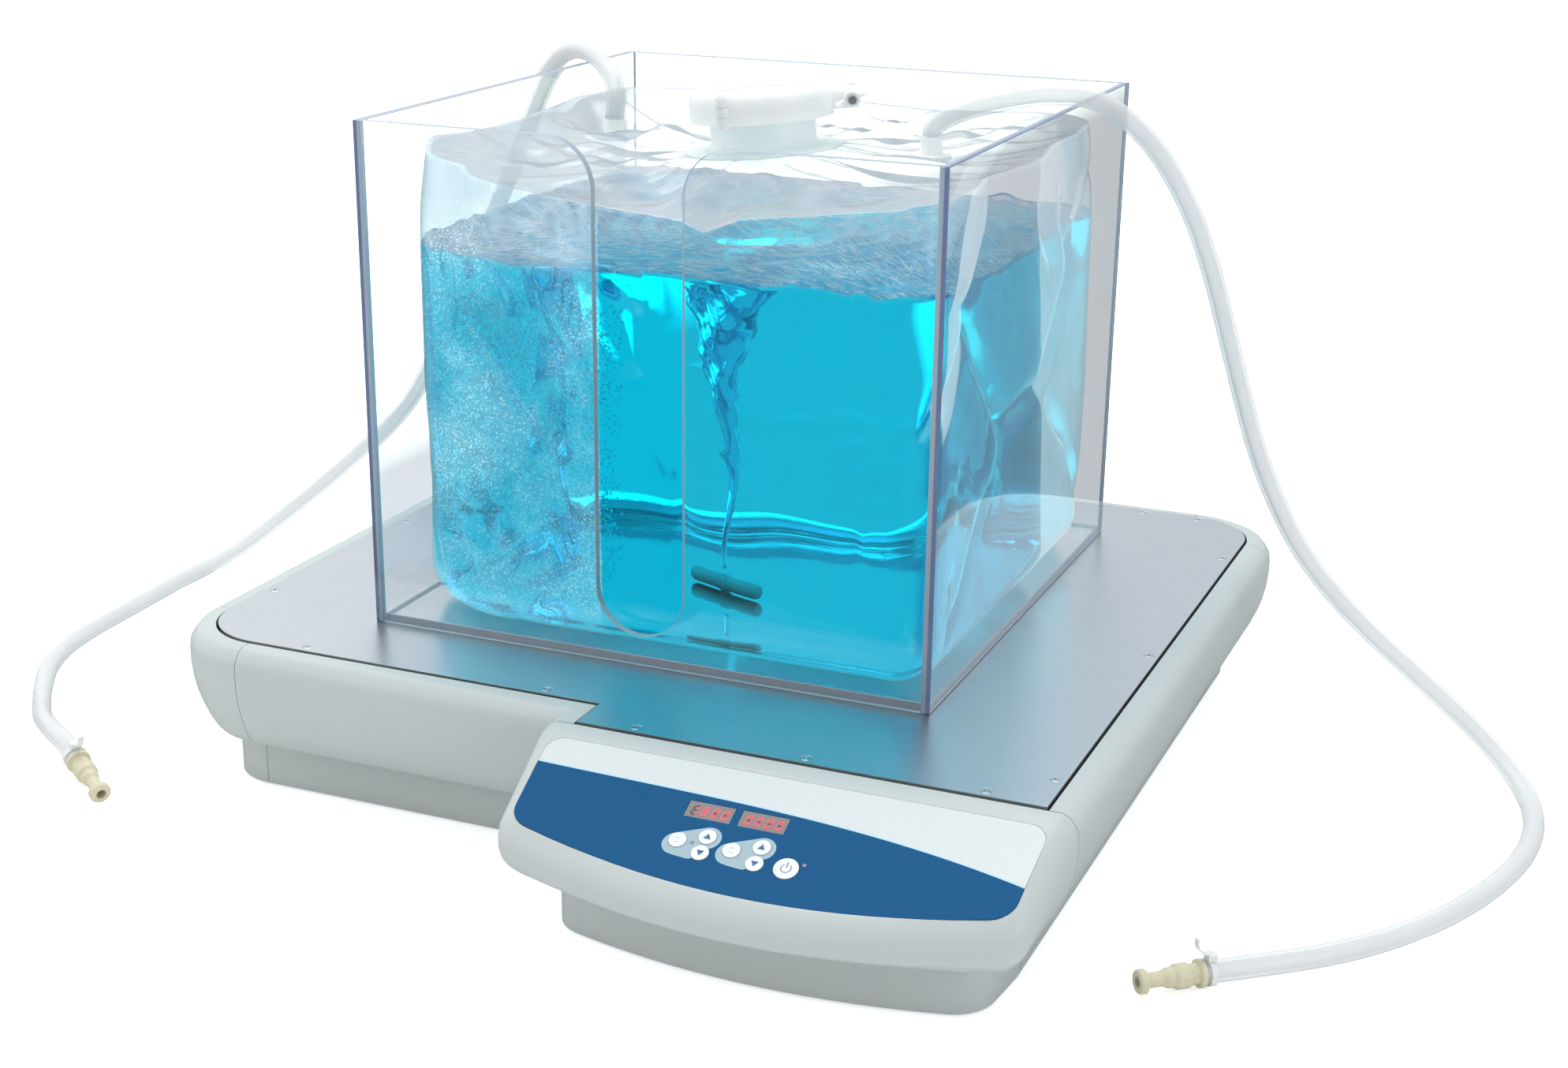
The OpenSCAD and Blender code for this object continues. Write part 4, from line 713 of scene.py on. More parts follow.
def key_mark(key, outlines, u, v, made):
    """Print on a key's cap: outlines across and up, filled and a hair above the cap."""
    edit = bmesh.new()
    for outline in outlines:
        edit.faces.new([edit.verts.new(on_face(u + x, v + y, 0.00054)) for x, y in outline])
    mesh = bpy.data.meshes.new(key + "_mark")
    edit.to_mesh(mesh)
    edit.free()
    mesh.materials.append(made)
    mark = in_scene(key + "_mark", mesh)
    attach(mark, key)


arrow = [(-0.0021, -0.0015), (0.0021, -0.0015), (0.0, 0.0021)]
# The power key's round mark is a ring that is open at the top, in short flat pieces
ring, ring_pieces, out_r, in_r = [], 20, 0.0030, 0.0023
for k in range(ring_pieces):
    a, b = (math.radians(125 + 290 * (k + e) / ring_pieces) for e in (0, 1))
    corners = ((out_r, a), (out_r, b), (in_r, b), (in_r, a))
    ring.append([(r * math.cos(t), r * math.sin(t)) for r, t in corners])
stroke = [[(-0.0004, 0.0006), (0.0004, 0.0006), (0.0004, 0.0040), (-0.0004, 0.0040)]]
bars = [[(-0.0016, y), (0.0012, y), (0.0016, y + 0.0006), (-0.0012, y + 0.0006)]
        for y in (-0.0017, 0.0010)]
for name, du in (("speed", 0.0), ("time", group_du)):
    key_mark(name + "_up_key", [arrow], key_u + du, key_v + pair_dv, key_ink)
    key_mark(name + "_down_key", [[(x, -y) for x, y in arrow[::-1]]], key_u + du, key_v - pair_dv, key_ink)
    key_mark(name + "_mode_key", bars, key_u + du + mode_du, key_v, pale_ink)
key_mark("power_key", ring + stroke, power_u, power_v, power_ink)

# ---- Holder -------------------------------------------------------------------------------
# Five sheets of clear 5 mm acrylic, flame-polished along their edges and glued with a clear
# cement. The front sheet has a tall rounded slot. The light in the cut edges is painted, bluish grey.
def clear_sheet(made, tree, shader, tint):
    """Lets the light of the lamps and of the room through a clear piece, tinted by what it passes."""
    path = node(tree, "ShaderNodeLightPath").outputs
    passes = maths(tree, "MAXIMUM", path["Is Shadow Ray"], path["Is Diffuse Ray"])
    open_air = node(tree, "ShaderNodeBsdfTransparent", {"Color": tint})
    mixed = node(tree, "ShaderNodeMixShader", {0: passes, 1: shader.outputs[0], 2: open_air.outputs[0]})
    tree.links.new(mixed.outputs[0], tree.nodes["Material Output"].inputs["Surface"])


# Fine wiping marks, which only a glancing light shows
handling, g_in, g_out = new_group(
    "handling_marks", {"Place": "v", "Least": "f", "Most": "f", "Depth": "f"},
    {"Roughness": "f", "Normal": "v"})
wipes = noise(handling, g_in["Place"], 6.0, 5.0, 0.7, 0.4)
handling.links.new(ranged(handling, wipes, 0.45, 0.75, g_in["Least"], g_in["Most"]), g_out["Roughness"])
waviness = noise(handling, g_in["Place"], 11.0, 1.0)
handling.links.new(bumped(handling, waviness, g_in["Depth"]), g_out["Normal"])

acrylic, tree, shader = finish("clear_acrylic", Base_Color=(0.985, 0.99, 0.995, 1),
                               Transmission_Weight=1.0, IOR=1.49, Specular_IOR_Level=0.10)
marks = node(tree, "ShaderNodeGroup", {"Place": own_place(tree), "Least": 0.0, "Most": 0.012,
                                       "Depth": 0.00001}, node_tree=handling).outputs
feed(shader, Roughness=marks["Roughness"], Normal=marks["Normal"])
clear_sheet(acrylic, tree, shader, (0.97, 0.98, 0.99, 1))
acrylic_edge, tree, shader = finish("acrylic_edge", IOR=1.49)
group = grained(tree, shader, (0.16, 0.22, 0.46), (0.30, 0.38, 0.60), 0.10, 0.0012, 0.00002)
# The blue on the edges is painted light, for the light the sheets carry to their edges. Only the outer half
# of an upright edge carries it: the rest is pale
edge_x = maths(tree, "ABSOLUTE", node(tree, "ShaderNodeSeparateXYZ", {0: own_place(tree)}).outputs["X"])
outer = ranged(tree, edge_x, 0.1722, 0.1727)
feed(shader, Base_Color=blended(tree, outer, (0.46, 0.56, 0.65, 1), group["Colour"]),
     Transmission_Weight=maths(tree, "MULTIPLY_ADD", outer, 0.10, 0.25))
clear_sheet(acrylic_edge, tree, shader, (0.75, 0.80, 0.88, 1))
glue_line, half_inside, holder_foot, mid_y = 0.00004, 0.170, 0.096, 0.0535


def off_glue(offset):
    """A hair inwards from a glued face, so that each sheet keeps its own skin."""
    return -math.copysign(glue_line, offset) if abs(abs(offset) - half_inside) < 1e-4 else 0


for sheet, axis in (("tank_floor", 2), ("tank_front", 1), ("tank_back", 1), ("tank_left", 0),
                    ("tank_right", 0)):
    piece = smoothed(sheet, sheet + "_sheet", 20, acrylic, body="holder")
    piece.data.materials.append(acrylic_edge)
    for vertex in piece.data.vertices:
        co = vertex.co
        co.x += off_glue(co.x) if axis != 0 else 0
        co.y += off_glue(co.y - mid_y) if axis == 2 else 0
        co.z += glue_line if co.z < holder_foot + 0.0001 else 0
    for face in piece.data.polygons:
        face.material_index = 0 if abs(face.normal[axis]) > 0.9 else 1
    trim = piece.modifiers.new("polished_arris", "BEVEL")
    trim.width, trim.segments, trim.material = 0.0005, 2, 1
    trim.limit_method, trim.angle_limit = "ANGLE", math.radians(40)

# ---- Bag film -----------------------------------------------------------------------------
# A welded bag of soft clear film fills the holder. The liquid presses it against the acrylic,
# with creases and small tucks, and over the liquid it hangs slack up to the port's flange.
film_floor, bag_half, foot_r = 0.1013, 0.1694, 0.026
port_z, port_lean, pad_r = 0.365, math.radians(5), 0.045
around_n = 640


def bag_plan(inset):
    """Places round the bag's plan, pulled in by some distance, the same number for any inset."""
    corners = ((-1, -1, 0.072), (1, -1, 0.026), (1, 1, 0.060), (-1, 1, 0.026))
    line, normals = [], []
    for sx, sy, r in corners:
        turn = math.atan2(sy, sx)
        c = np.array((sx * (bag_half - r), sy * (bag_half - r)))
        for a in np.linspace(turn - math.pi / 4, turn + math.pi / 4, 25):
            n = np.array((math.cos(a), math.sin(a)))
            line.append(c + r * n)
            normals.append(n)
    line, normals = np.array(line + line[:1]), np.array(normals + normals[:1])
    run = run_along(line)
    places = np.linspace(0, run[-1], around_n, endpoint=False)
    p, n = at_places(places, run, line), at_places(places, run, normals)
    n /= np.linalg.norm(n, axis=1)[:, None]
    return p - n * inset + (0, mid_y), n, places


plan, plan_normals, plan_run = bag_plan(0.0)
plan_length = plan_run[-1] + plan_run[1]


def run_at(x, y):
    """The distance along the bag's plan that lies nearest to a place."""
    return plan_run[np.argmin(np.hypot(plan[:, 0] - x, plan[:, 1] - y))]


# Creases as (run, height) at both ends, width and depth: first the long ones, then many small ones
front, right_side = mid_y - bag_half, bag_half
creases = []
for x0, z0, x1, z1, wide, deep in (
        (-0.137, 0.388, -0.104, 0.313, 0.010, 0.006), (-0.104, 0.313, -0.084, 0.291, 0.007, 0.005),
        (-0.142, 0.334, -0.125, 0.277, 0.006, 0.005), (-0.128, 0.250, -0.085, 0.262, 0.006, 0.004),
        (-0.150, 0.226, -0.092, 0.205, 0.005, 0.004), (-0.096, 0.262, -0.070, 0.215, 0.005, 0.003),
        (-0.131, 0.160, -0.111, 0.125, 0.007, 0.006), (-0.100, 0.140, -0.060, 0.170, 0.006, 0.004),
        (-0.090, 0.112, -0.035, 0.150, 0.006, 0.004), (-0.023, 0.317, 0.001, 0.301, 0.006, 0.005),
        (-0.013, 0.300, -0.004, 0.262, 0.008, 0.004), (0.167, 0.375, 0.150, 0.330, 0.006, 0.005),
        (0.040, 0.345, 0.120, 0.352, 0.006, 0.005), (0.060, 0.335, 0.150, 0.340, 0.005, 0.004),
        (-0.100, 0.352, -0.040, 0.340, 0.006, 0.005)):
    creases.append((run_at(x0, front), z0, run_at(x1, front), z1, wide, deep))
for y0, z0, y1, z1, wide, deep in (
        (-0.099, 0.104, -0.045, 0.165, 0.004, 0.006), (-0.045, 0.165, -0.004, 0.205, 0.004, 0.007),
        (-0.004, 0.205, 0.012, 0.227, 0.005, 0.008), (0.012, 0.227, 0.078, 0.232, 0.006, 0.009),
        (0.092, 0.220, 0.142, 0.181, 0.005, 0.007), (0.142, 0.181, 0.200, 0.118, 0.005, 0.006),
        (-0.075, 0.314, -0.009, 0.239, 0.008, 0.009), (-0.009, 0.239, 0.012, 0.224, 0.008, 0.010),
        (0.078, 0.232, 0.140, 0.297, 0.008, 0.010), (0.140, 0.297, 0.187, 0.345, 0.010, 0.012),
        (-0.113, 0.250, -0.063, 0.309, 0.006, 0.006), (-0.063, 0.309, -0.030, 0.344, 0.007, 0.008),
        (0.110, 0.340, 0.141, 0.300, 0.012, 0.010), (0.060, 0.344, 0.100, 0.300, 0.010, 0.007)):
    creases.append((run_at(right_side, y0), z0, run_at(right_side, y1), z1, wide, deep))
chance = np.random.default_rng(11)
for _ in range(110):
    start = chance.uniform(0, plan_length)
    if chance.random() < 0.35:
        start = run_at(chance.uniform(-0.150, -0.030), front)
    z0, lean, long = chance.uniform(0.112, 0.340), chance.normal(0, 0.65), chance.uniform(0.012, 0.060)
    creases.append((start, z0, start + long * math.sin(lean), z0 + long * math.cos(lean),
                    chance.uniform(0.0025, 0.006), chance.uniform(0.0004, 0.0014)))


def pulled_in(run, z):
    """How far the creases pull the film in from the holder, at places along the plan and heights."""
    deep = np.zeros(np.broadcast(run, z).shape)
    for k, (m, wave, phase) in enumerate(((3, 40, 0.3), (7, 26, 1.7), (12, 55, 2.9), (19, 34, 4.1))):
        swing = np.sin(2 * math.pi * m * run / plan_length + wave * z + phase)
        deep += 0.0004 / (1 + 0.3 * k) * (1 + swing)
    for s0, z0, s1, z1, wide, most in creases:
        ds = (run - s0 + plan_length / 2) % plan_length - plan_length / 2
        es, ez = (s1 - s0 + plan_length / 2) % plan_length - plan_length / 2, z1 - z0
        size = max(es * es + ez * ez, 1e-9)
        t = np.clip((ds * es + (z - z0) * ez) / size, 0, 1)
        off = np.hypot(ds - t * es, z - z0 - t * ez)
        near = off < 4 * wide
        swell = np.sqrt(np.clip(1 - (2 * t - 1) ** 2, 0.12, 1))
        deep += np.where(near, most * swell * np.exp(-(off / wide) ** 1.5), 0)
    return deep


def port_place(radius, turn, out):
    """A place round the port's leaning axis, from the flat pad on the film."""
    x, z = radius * np.cos(turn), out
    return np.stack([x * math.cos(port_lean) - z * math.sin(port_lean), mid_y + radius * np.sin(turn),
                     port_z + x * math.sin(port_lean) + z * math.cos(port_lean)], axis=-1)


hose_ports = ((-0.128, 0.110, 0.354), (0.097, 0.077, 0.3635))


def pressed_ring(gap, inset, z, share=1.0):
    """A ring at some heights, a gap and an inset within the holder, drawn in by a share of the creases."""
    pull = pulled_in(plan_run, z) * share
    return np.column_stack([bag_plan(gap + inset)[0] - plan_normals * pull[:, None], z])


def bag_foot(gap, count):
    """The rings of the bag's flat floor and of its rounded foot, a gap within the film."""
    flat, low, r = bag_plan(foot_r)[0] - (0, mid_y), film_floor + gap, foot_r - gap
    rings = [np.column_stack([flat * share + (0, mid_y), np.full(around_n, low)])
             for share in np.linspace(0.03, 1.0, count)[:-1]]
    for a in np.radians(np.linspace(0, 90, 9)):
        z = np.full(around_n, low + r * (1 - math.cos(a)))
        rings.append(pressed_ring(gap, r * (1 - math.sin(a)), z, math.sin(a) ** 2))
    return rings


film_rings = bag_foot(0, 14)
# The rim where the walls turn over into the slack top, as places round the bag and heights
rim_places = (
    (-0.150, -0.116, 0.372), (-0.077, -0.116, 0.361), (-0.026, -0.116, 0.3555), (0.024, -0.116, 0.352),
    (0.037, -0.116, 0.347), (0.057, -0.116, 0.355), (0.107, -0.116, 0.362), (0.160, -0.116, 0.369),
    (0.169, -0.040, 0.374), (0.169, 0.040, 0.370), (0.169, 0.120, 0.375), (0.150, 0.215, 0.374),
    (0.050, 0.223, 0.370), (-0.060, 0.223, 0.375), (-0.160, 0.223, 0.372), (-0.169, 0.120, 0.376),
    (-0.169, 0.020, 0.371), (-0.169, -0.050, 0.376))
slack_from, slack_over = 0.328, 0.045
rim_runs = [run_at(x, y) for x, y, _ in rim_places]
rim_z = np.interp(plan_run, rim_runs, [z for _, _, z in rim_places], period=plan_length)
for share in np.linspace(0, 1, 96)[1:]:
    z = film_floor + foot_r + (rim_z - film_floor - foot_r) * share
    slack = np.clip((z - slack_from) / slack_over, 0, 1)
    folds = sum(a * (1 + np.sin(2 * math.pi * m * plan_run / plan_length + p))
                for m, a, p in ((8, 0.5, 0.7), (13, 0.6, 2.6), (21, 0.4, 4.4)))
    pull = pulled_in(plan_run, z) * (1 + 0.8 * slack) + 0.0022 * folds * slack ** 1.5
    film_rings.append(np.column_stack([plan - plan_normals * pull[:, None], z]))
rim, wall_rings = film_rings[-1], len(film_rings)
turn = np.arctan2(plan[:, 1] - mid_y, plan[:, 0])
pad = port_place(pad_r, turn, -0.0003)
# Over the liquid the film runs from the shoulder to the port in soft folds, and up to the hose ports
fold_wave = sum(a * np.sin(m * turn + p) for m, a, p in (
    (5, 0.5, 0.4), (9, 0.7, 1.9), (14, 0.6, 3.2), (23, 0.45, 5.0), (37, 0.25, 0.9)))
for share in np.linspace(0, 1, 46)[1:]:
    ring = rim + (pad - rim) * share
    arch = math.sin(math.pi * share)
    ring[:, 2] = rim[:, 2] + (pad[:, 2] - rim[:, 2]) * (share ** 0.8) + arch * (0.0026 * fold_wave - 0.0045)
    ring[:, 2] += 0.0022 * arch * np.sin(90 * ring[:, 0] + 60 * ring[:, 1] + 3 * np.sin(40 * ring[:, 1]))
    for x, y, z in hose_ports:
        off = np.hypot(ring[:, 0] - x, ring[:, 1] - y)
        pull = np.clip(1 - (off - 0.013) / 0.040, 0, 1) ** 2 * (1 if share < 0.97 else 0)
        ring[:, 2] += (z - 0.0002 - ring[:, 2]) * np.clip(pull, 0, 1)
    film_rings.append(ring)


def lofted(name, rings, closed_top, material):
    """A skin through closed rings from its lowest middle up, with a fan at the start and, if its top is
    closed, one at the end.
    """
    n, count = len(rings[0]), len(rings)
    points = np.vstack([*rings, rings[0].mean(axis=0), rings[-1].mean(axis=0)])[:None if closed_top else -1]
    faces = [(count * n, (i + 1) % n, i) for i in range(n)]
    for k in range(count - 1):
        faces += band(k * n, (k + 1) * n, n)
    if closed_top:
        last = (count - 1) * n
        faces += [(count * n + 1, last + i, last + (i + 1) % n) for i in range(n)]
    return mesh_piece(name, points, faces, material)


def mark_points(piece, name, values):
    """Keeps a value for each point of a piece, for its material to read."""
    piece.data.attributes.new(name, "FLOAT", "POINT").data.foreach_set("value", values)


film, tree, shader = finish("bag_film_clear", IOR=1.50, Roughness=0.08)
place = own_place(tree)
crumple, clouds = noise(tree, place, 55.0, 7.0, 0.62, 0.8), noise(tree, place, 12.0, 5.0, 0.6, 0.6)
creased = bumped(tree, crumple, 0.0012, 0.5)
on_top, on_right = (node(tree, "ShaderNodeAttribute", attribute_name=key).outputs["Fac"]
                    for key in ("slack_top", "right_wall"))
axes = node(tree, "ShaderNodeSeparateXYZ", {0: place}).outputs
dry = ranged(tree, axes["Z"], 0.312, 0.328)
# The haze's cyan is partly painted light, for the liquid's light behind the film; above the liquid it is
# paler
haze_tint_with_painted_liquid_light = ramp(tree, crumple, [(0.3, (0.58, 0.90, 0.94)), (0.7, (0.78, 0.98, 1.0))])
haze_tint_with_painted_liquid_light = blended(tree, dry, haze_tint_with_painted_liquid_light, (0.86, 0.92, 0.95, 1))
# Haze: on the slack top, a little on the walls over the liquid and more on the front's left part
free = ranged(tree, axes["Z"], 0.322, 0.345, 0.0, 0.10)
topped = maths(tree, "MULTIPLY", on_top, ranged(tree, clouds, 0.32, 0.68, 0.28, 0.60))
leftward = ranged(tree, axes["X"], -0.0275, -0.0265, 1.0, 0.0)
fronted = ranged(tree, axes["Y"], -0.098, -0.080, 1.0, 0.0)
# Fine bubbles cling to the film there as pale specks
specks = node(tree, "ShaderNodeTexVoronoi", {"Vector": place, "Scale": 520.0}).outputs["Distance"]
thick = maths(tree, "MULTIPLY", ranged(tree, clouds, 0.40, 0.66, 0.04, 0.30),
              ranged(tree, specks, 0.18, 0.42, 1.9, 0.55))
# Over the liquid the same part of the film is misted
misted = maths(tree, "MULTIPLY", dry, ranged(tree, crumple, 0.35, 0.65, 0.12, 0.30))
veil = maths(tree, "MULTIPLY", maths(tree, "MULTIPLY", leftward, fronted),
             maths(tree, "MAXIMUM", thick, misted))
# On the right wall one broad fold leans back near the front, and the film is milky at the back
fold_y = maths(tree, "MULTIPLY_ADD", axes["Z"], 0.55, -0.2525)
fold_off = maths(tree, "ABSOLUTE", maths(tree, "SUBTRACT", axes["Y"], fold_y))
broad_fold = ranged(tree, fold_off, 0.0205, 0.0185, 0.07, 0.45)
back_y = maths(tree, "MULTIPLY_ADD", axes["Z"], 0.17, axes["Y"])
backward = ranged(tree, back_y, 0.1142, 0.1154, 0.0, 0.40)
milky_right = maths(tree, "MULTIPLY", on_right, maths(tree, "MAXIMUM", broad_fold, backward))
haze = maths(tree, "MAXIMUM", maths(tree, "ADD", free, topped), maths(tree, "ADD", veil, milky_right))
# The film mirrors at its own share and is hazy for the rest of what it covers
mirror = node(tree, "ShaderNodeFresnel", {"IOR": 1.40, "Normal": creased}).outputs[0]
mirror = maths(tree, "MULTIPLY", mirror, 0.7)
covered = maths(tree, "ADD", haze, mirror, clamp=True)
some_cover = maths(tree, "ADD", covered, 0.0001)
# Milky film on the walls glows a little with the light that shines through the holder
shine = blended(tree, on_right, (0.50, 0.98, 1.0, 1), (0.78, 0.98, 1.0, 1))
shine = blended(tree, dry, shine, (0.88, 0.96, 1.0, 1))
glow = maths(tree, "MULTIPLY", maths(tree, "MULTIPLY_ADD", on_top, -0.75, 0.75),
             maths(tree, "DIVIDE", haze, some_cover))
# The slack top is painted a darker grey than the walls: painted shade on the top
feed(shader, Base_Color=blended(tree, on_top, haze_tint_with_painted_liquid_light, (0.60, 0.63, 0.65, 1)), Normal=creased, Alpha=covered,
     Metallic=maths(tree, "DIVIDE", mirror, some_cover), Emission_Color=shine, Emission_Strength=glow)

film_skin = lofted("bag_skin", film_rings, False, film)
points_n = len(film_skin.data.vertices)
top_points, right_points = np.zeros(points_n), np.zeros(points_n)
top_points[wall_rings * around_n:] = 1
right_points[:wall_rings * around_n] = np.tile(plan_normals[:, 0] > 0.9, wall_rings)
mark_points(film_skin, "slack_top", top_points)
mark_points(film_skin, "right_wall", right_points)
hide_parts("bag_film")
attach(film_skin, "bag")

# ---- Liquid -------------------------------------------------------------------------------
# About 24 litres of clear cyan liquid fill the bag to four fifths. It follows the film and its
# creases, and the turning bar draws its rippled surface down into a narrow twisted funnel.
liquid_level, skin_gap, meniscus = 0.322, 0.0007, 0.0012
funnel_r, tail_r, funnel_foot, dip_depth, dip_reach = 0.034, 0.0018, 0.1175, 0.012, 0.014


def surface_height(x, y):
    """The liquid's surface: a slight tilt, streaks that wind round the funnel, and cross waves."""
    r, a = np.hypot(x, y - mid_y), np.arctan2(y - mid_y, x)
    z = np.full(np.shape(r), liquid_level - 0.0035)
    z += -0.018 * (y - mid_y) * (0.35 + 0.65 * (x > 0))
    waves = np.random.default_rng(5)
    for _ in range(34):
        length, m = waves.uniform(0.006, 0.022), waves.integers(-5, 6)
        swell = 0.00020 * (length / 0.012) ** 0.7
        z += swell * np.sin(2 * math.pi * r / length + m * a + waves.uniform(0, 6.28))
    for _ in range(16):
        across_x, across_y = waves.normal(0, 130), waves.normal(0, 260)
        z += 0.00015 * np.sin(across_x * x + across_y * y + waves.uniform(0, 6.28))
    return z


edge = pressed_ring(skin_gap, 0, np.full(around_n, liquid_level))
edge_z = surface_height(edge[:, 0], edge[:, 1]) + meniscus
liquid_rings = bag_foot(skin_gap, 12)
for share in np.linspace(0, 1, 74)[1:]:
    z = film_floor + foot_r + (edge_z - film_floor - foot_r) * share
    liquid_rings.append(pressed_ring(skin_gap, 0, z))
edge, shore = liquid_rings[-1], len(liquid_rings)
out = edge[:, :2] - (0, mid_y)
edge_r, edge_turn = np.hypot(*out.T), np.arctan2(out[:, 1], out[:, 0])
for share in np.linspace(0, 1, 90)[1:]:
    r = edge_r - meniscus * min(share * 60, 1) + (funnel_r - edge_r) * share
    x, y = r * np.cos(edge_turn), mid_y + r * np.sin(edge_turn)
    creep = meniscus * math.exp(-share * 60)
    dip = dip_depth * np.exp(-(r - funnel_r) / dip_reach)
    liquid_rings.append(np.column_stack([x, y, surface_height(x, y) + creep - dip]))
mouth, funnel_start = liquid_rings[-1], len(liquid_rings)
for t in np.linspace(1, 0, 64)[1:]:
    twist = 5.5 * (1 - t)
    lobes = (0.16 * np.sin(2 * edge_turn + twist * 2 + 9 * t) + 0.10 * np.sin(3 * edge_turn - 31 * t)
             + 0.06 * np.sin(5 * edge_turn + 57 * t))
    r = (tail_r + (funnel_r - tail_r) * t ** 2.6) * (1 + lobes * (t < 0.98))
    sway = 0.0045 * math.sin(7 * t) * (1 - t) * t * 4
    z = funnel_foot + (mouth[:, 2] - funnel_foot) * t + 0.0012 * np.sin(160 * t) * t
    x, y = r * np.cos(edge_turn) + sway, mid_y + r * np.sin(edge_turn) + 0.5 * sway
    liquid_rings.append(np.column_stack([x, y, z]))

cyan, tree, shader = finish("cyan_liquid", Roughness=0.0, IOR=1.333)
# Fine ripples on the surface, drawn out from side to side
drawn = node(tree, "ShaderNodeMapping", {"Vector": own_place(tree), "Scale": (75.0, 520.0, 75.0)})
ripples = noise(tree, drawn.outputs[0], 1.0, 3.0, 0.6, 0.5)
open_surface = node(tree, "ShaderNodeAttribute", attribute_name="open_surface").outputs["Fac"]
# Painted highlights: where the ripples crest over the holder they are pale and let less light through, and
# only the open surface mirrors fully
painted_crest_highlight = maths(tree, "MULTIPLY", ranged(tree, ripples, 0.47, 0.62, 0.0, 0.62), open_surface)
pale = maths(tree, "MINIMUM", maths(tree, "MULTIPLY", painted_crest_highlight, 3.0), 1.0)
feed(shader, Normal=bumped(tree, ripples, 0.0008, open_surface),
     Base_Color=blended(tree, pale, (0.93, 0.76, 0.90, 1), (0.80, 0.88, 0.92, 1)),
     Transmission_Weight=maths(tree, "SUBTRACT", 1.0, painted_crest_highlight),
     Specular_IOR_Level=maths(tree, "MULTIPLY_ADD", open_surface, 0.60, 0.15))
clear_sheet(cyan, tree, shader, (0.97, 0.99, 1.0, 1))
dye = node(tree, "ShaderNodeVolumeAbsorption", {"Color": (0.0, 0.970, 0.986, 1), "Density": 28.0})
tree.links.new(dye.outputs[0], tree.nodes["Material Output"].inputs["Volume"])
body_of_liquid = lofted("liquid_body", liquid_rings, True, cyan)
open_points = np.zeros(len(body_of_liquid.data.vertices))
open_points[shore * around_n:funnel_start * around_n] = 1
mark_points(body_of_liquid, "open_surface", open_points)
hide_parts("liquid")
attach(body_of_liquid, "bag")

# ---- Bubbles ------------------------------------------------------------------------------
# The turning bar beats air into the liquid. It hangs there as small round bubbles, close
# behind the creased left part of the film.
near_film, cloud_left, cloud_right = bag_plan(0.010)[0], -0.155, -0.032
near_film = near_film[(near_film[:, 0] > cloud_left) & (near_film[:, 0] < cloud_right)
                      & (near_film[:, 1] < 0)]
levels, width = np.linspace(0.122, 0.296, 12), len(near_film)
cloud = mesh_piece("bubble_cloud", [(x, y, z) for z in levels for x, y in near_film],
                   [(k * width + i, k * width + i + 1, (k + 1) * width + i + 1, (k + 1) * width + i)
                    for k in range(len(levels) - 1) for i in range(width - 1)])
bubbled, g_in, g_out = geometry_tree(
    "bubbles_in_liquid", Geometry="Geometry", Density="Float", Depth="Float", Least="Float", Most="Float",
    Seed="Int", Finish="Material")
swarm = node(bubbled, "ShaderNodeTexNoise", {"Scale": 26.0, "Detail": 3.0}).outputs[0]
swarm = ranged(bubbled, swarm, 0.40, 0.62)
density = maths(bubbled, "MULTIPLY", swarm, g_in["Density"])
scattered = node(bubbled, "GeometryNodeDistributePointsOnFaces", {
    "Mesh": g_in["Geometry"], "Density": density, "Seed": g_in["Seed"]})
sunk = node(bubbled, "FunctionNodeRandomValue", {3: g_in["Depth"], "Seed": g_in["Seed"]}, data_type="FLOAT")
inward = node(bubbled, "ShaderNodeVectorMath", {0: (0.45, 1.0, 0.0), "Scale": sunk.outputs[1]},
              operation="SCALE").outputs[0]
floating = node(bubbled, "GeometryNodeSetPosition", {
    "Geometry": scattered.outputs["Points"], "Offset": inward})
size = node(bubbled, "FunctionNodeRandomValue", {
    2: g_in["Least"], 3: g_in["Most"], "Seed": maths(bubbled, "ADD", g_in["Seed"], 1.0)}, data_type="FLOAT")
ball = node(bubbled, "GeometryNodeMeshIcoSphere", {"Radius": 1.0, "Subdivisions": 1})
balls = node(bubbled, "GeometryNodeInstanceOnPoints", {
    "Points": floating.outputs[0], "Instance": ball.outputs[0], "Scale": size.outputs[1]})
real = node(bubbled, "GeometryNodeRealizeInstances", {0: balls.outputs[0]})
rounded = node(bubbled, "GeometryNodeSetShadeSmooth", {0: real.outputs[0]})
dressed = node(bubbled, "GeometryNodeSetMaterial",
               {"Geometry": rounded.outputs[0], "Material": g_in["Finish"]})
bubbled.links.new(dressed.outputs[0], g_out["Geometry"])

air, tree, shader = finish("air_bubble", Transmission_Weight=1.0, IOR=0.76)
grained(tree, shader, (0.98, 0.99, 1.0), (0.94, 0.97, 1.0), 0.02, 0.002, 0.00001)
clear_sheet(air, tree, shader, (1, 1, 1, 1))
grown(cloud, bubbled, {"Density": 780000.0, "Depth": 0.022, "Least": 0.0004, "Most": 0.0010, "Seed": 7,
                       "Finish": air})
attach(cloud, "bag")

# ---- Stir bar -----------------------------------------------------------------------------
# A cylindrical magnet in a smooth white fluoropolymer coat, with a ring round its middle on
# which it turns. It lies on the bag's floor over the drive.
coat = plain_finish("bar_coat", (0.84, 0.85, 0.84), (0.74, 0.76, 0.77), 0.22, 0.0010, 0.00001,
                    Subsurface_Weight=0.1)
smoothed("stir_bar", "stir_bar_coat", 40, coat, body="stir_bar")
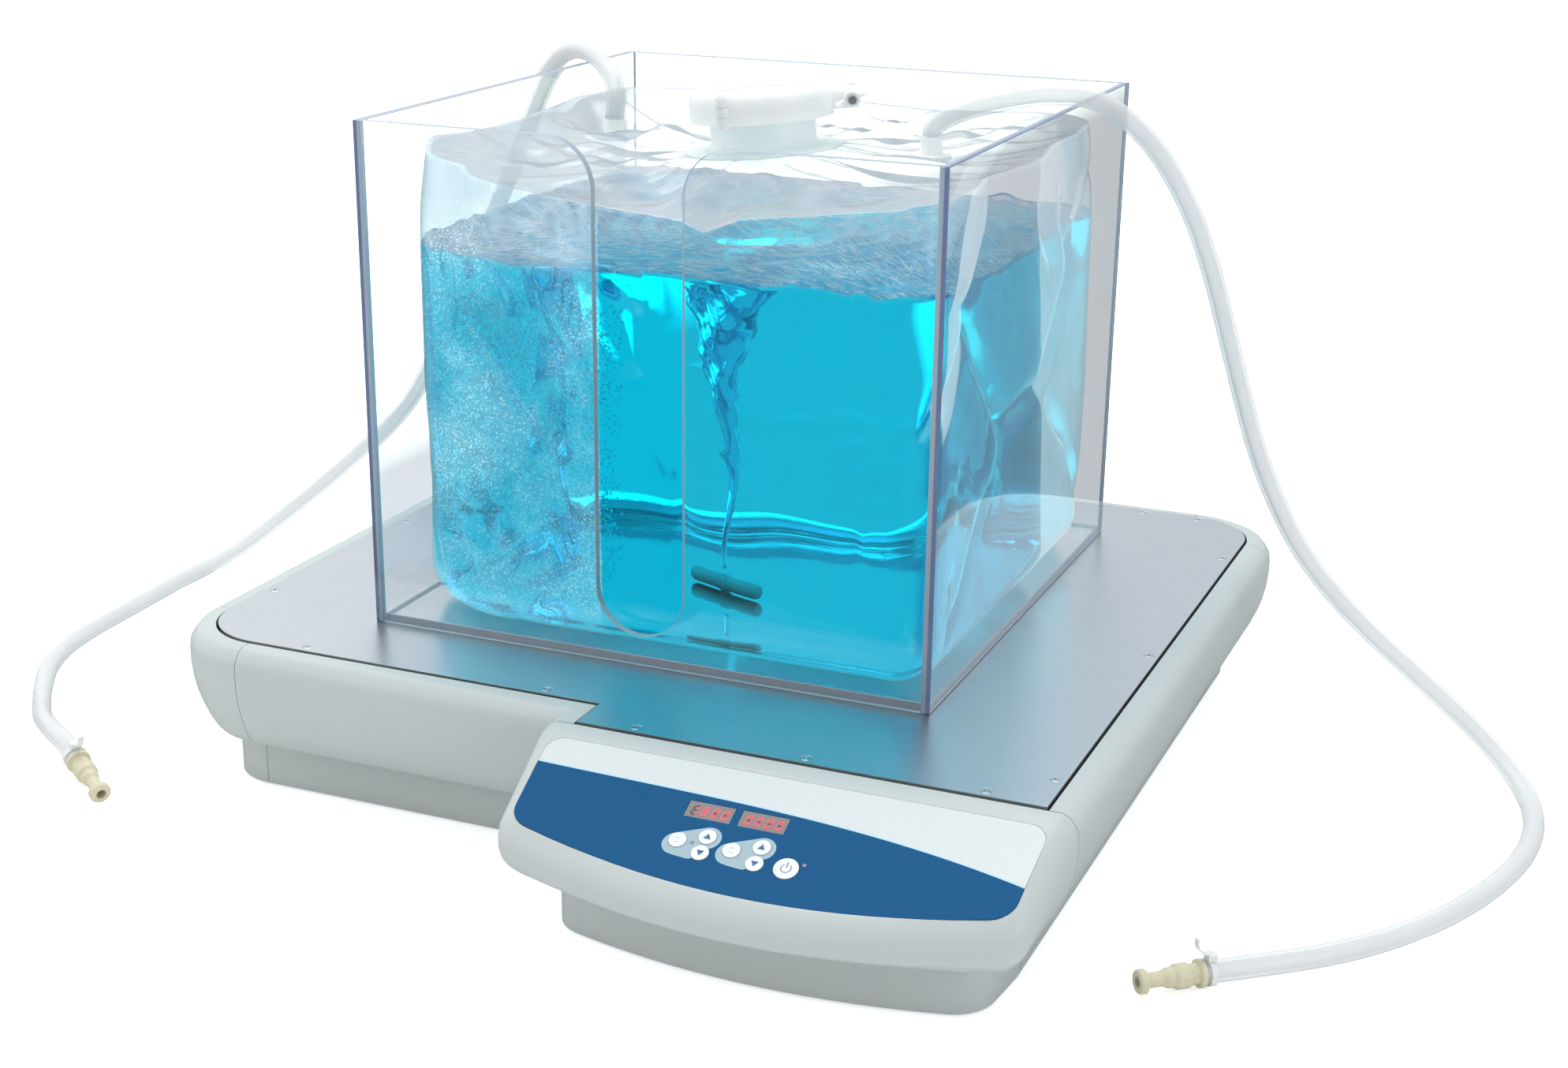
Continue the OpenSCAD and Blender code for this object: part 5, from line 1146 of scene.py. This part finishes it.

# ---- Port, cap and clamp ------------------------------------------------------------------
# The port's flange and its cap are milky polypropylene with a silicone gasket between them. A
# hinged clamp in three parts pulls them together with a swing bolt and a wing nut.
# The milky plastic carries a faint painted glow
milky = plain_finish("milky_plastic", (0.95, 0.955, 0.94), (0.91, 0.915, 0.90), 0.32, 0.0011, 0.00002,
                     Emission_Color=(0.95, 0.96, 0.95, 1), Emission_Strength=0.10, Subsurface_Weight=0.7,
                     Subsurface_Scale=0.012, Subsurface_Radius=(1.0, 1.0, 1.0))
gasket = plain_finish("gasket_silicone", (0.74, 0.75, 0.74), (0.68, 0.69, 0.68), 0.45, 0.0010, 0.00001)
pin_steel = plain_finish("pin_steel", (0.60, 0.61, 0.62), (0.50, 0.51, 0.52), 0.20, 0.0004, 0.00001,
                         Metallic=1.0)
for name, made, slot in (
        ("port_ferrule", milky, "port_milky"), ("port_cap", milky, "port_milky"),
        ("port_gasket", gasket, "gasket_silicone"), ("clamp_segment_left", milky, "clamp_milky"),
        ("clamp_segment_front", milky, "clamp_milky"), ("clamp_segment_back", milky, "clamp_milky"),
        ("clamp_hinge_pins", pin_steel, "pin_steel"), ("clamp_bolt", pin_steel, "pin_steel"),
        ("clamp_wing_nut", milky, "clamp_milky"), ("left_port", milky, "port_milky"),
        ("right_port", milky, "port_milky")):
    own_body = name if name in ("clamp_bolt", "clamp_wing_nut") else "bag"
    smoothed(name, name + "_part", 32, made, body=own_body)

# ---- Connectors and ties ------------------------------------------------------------------
# A cream nylon coupling is pushed into the free end of each hose, with a grip, a groove and an
# open rim. A white cable tie clamps the hose on it, its cut tail standing out.
cream = plain_finish("cream_nylon", (0.72, 0.68, 0.50), (0.64, 0.60, 0.42), 0.34, 0.0009, 0.00002,
                     Subsurface_Weight=0.25, Subsurface_Scale=0.002)
tie_white = plain_finish("tie_white", (0.86, 0.86, 0.85), (0.80, 0.80, 0.79), 0.38, 0.0007, 0.00001)
for name in ("left_connector", "right_connector"):
    in_finish(name, cream)
smoothed("hose_ties", "hose_ties_pair", 35, tie_white, body="bag")
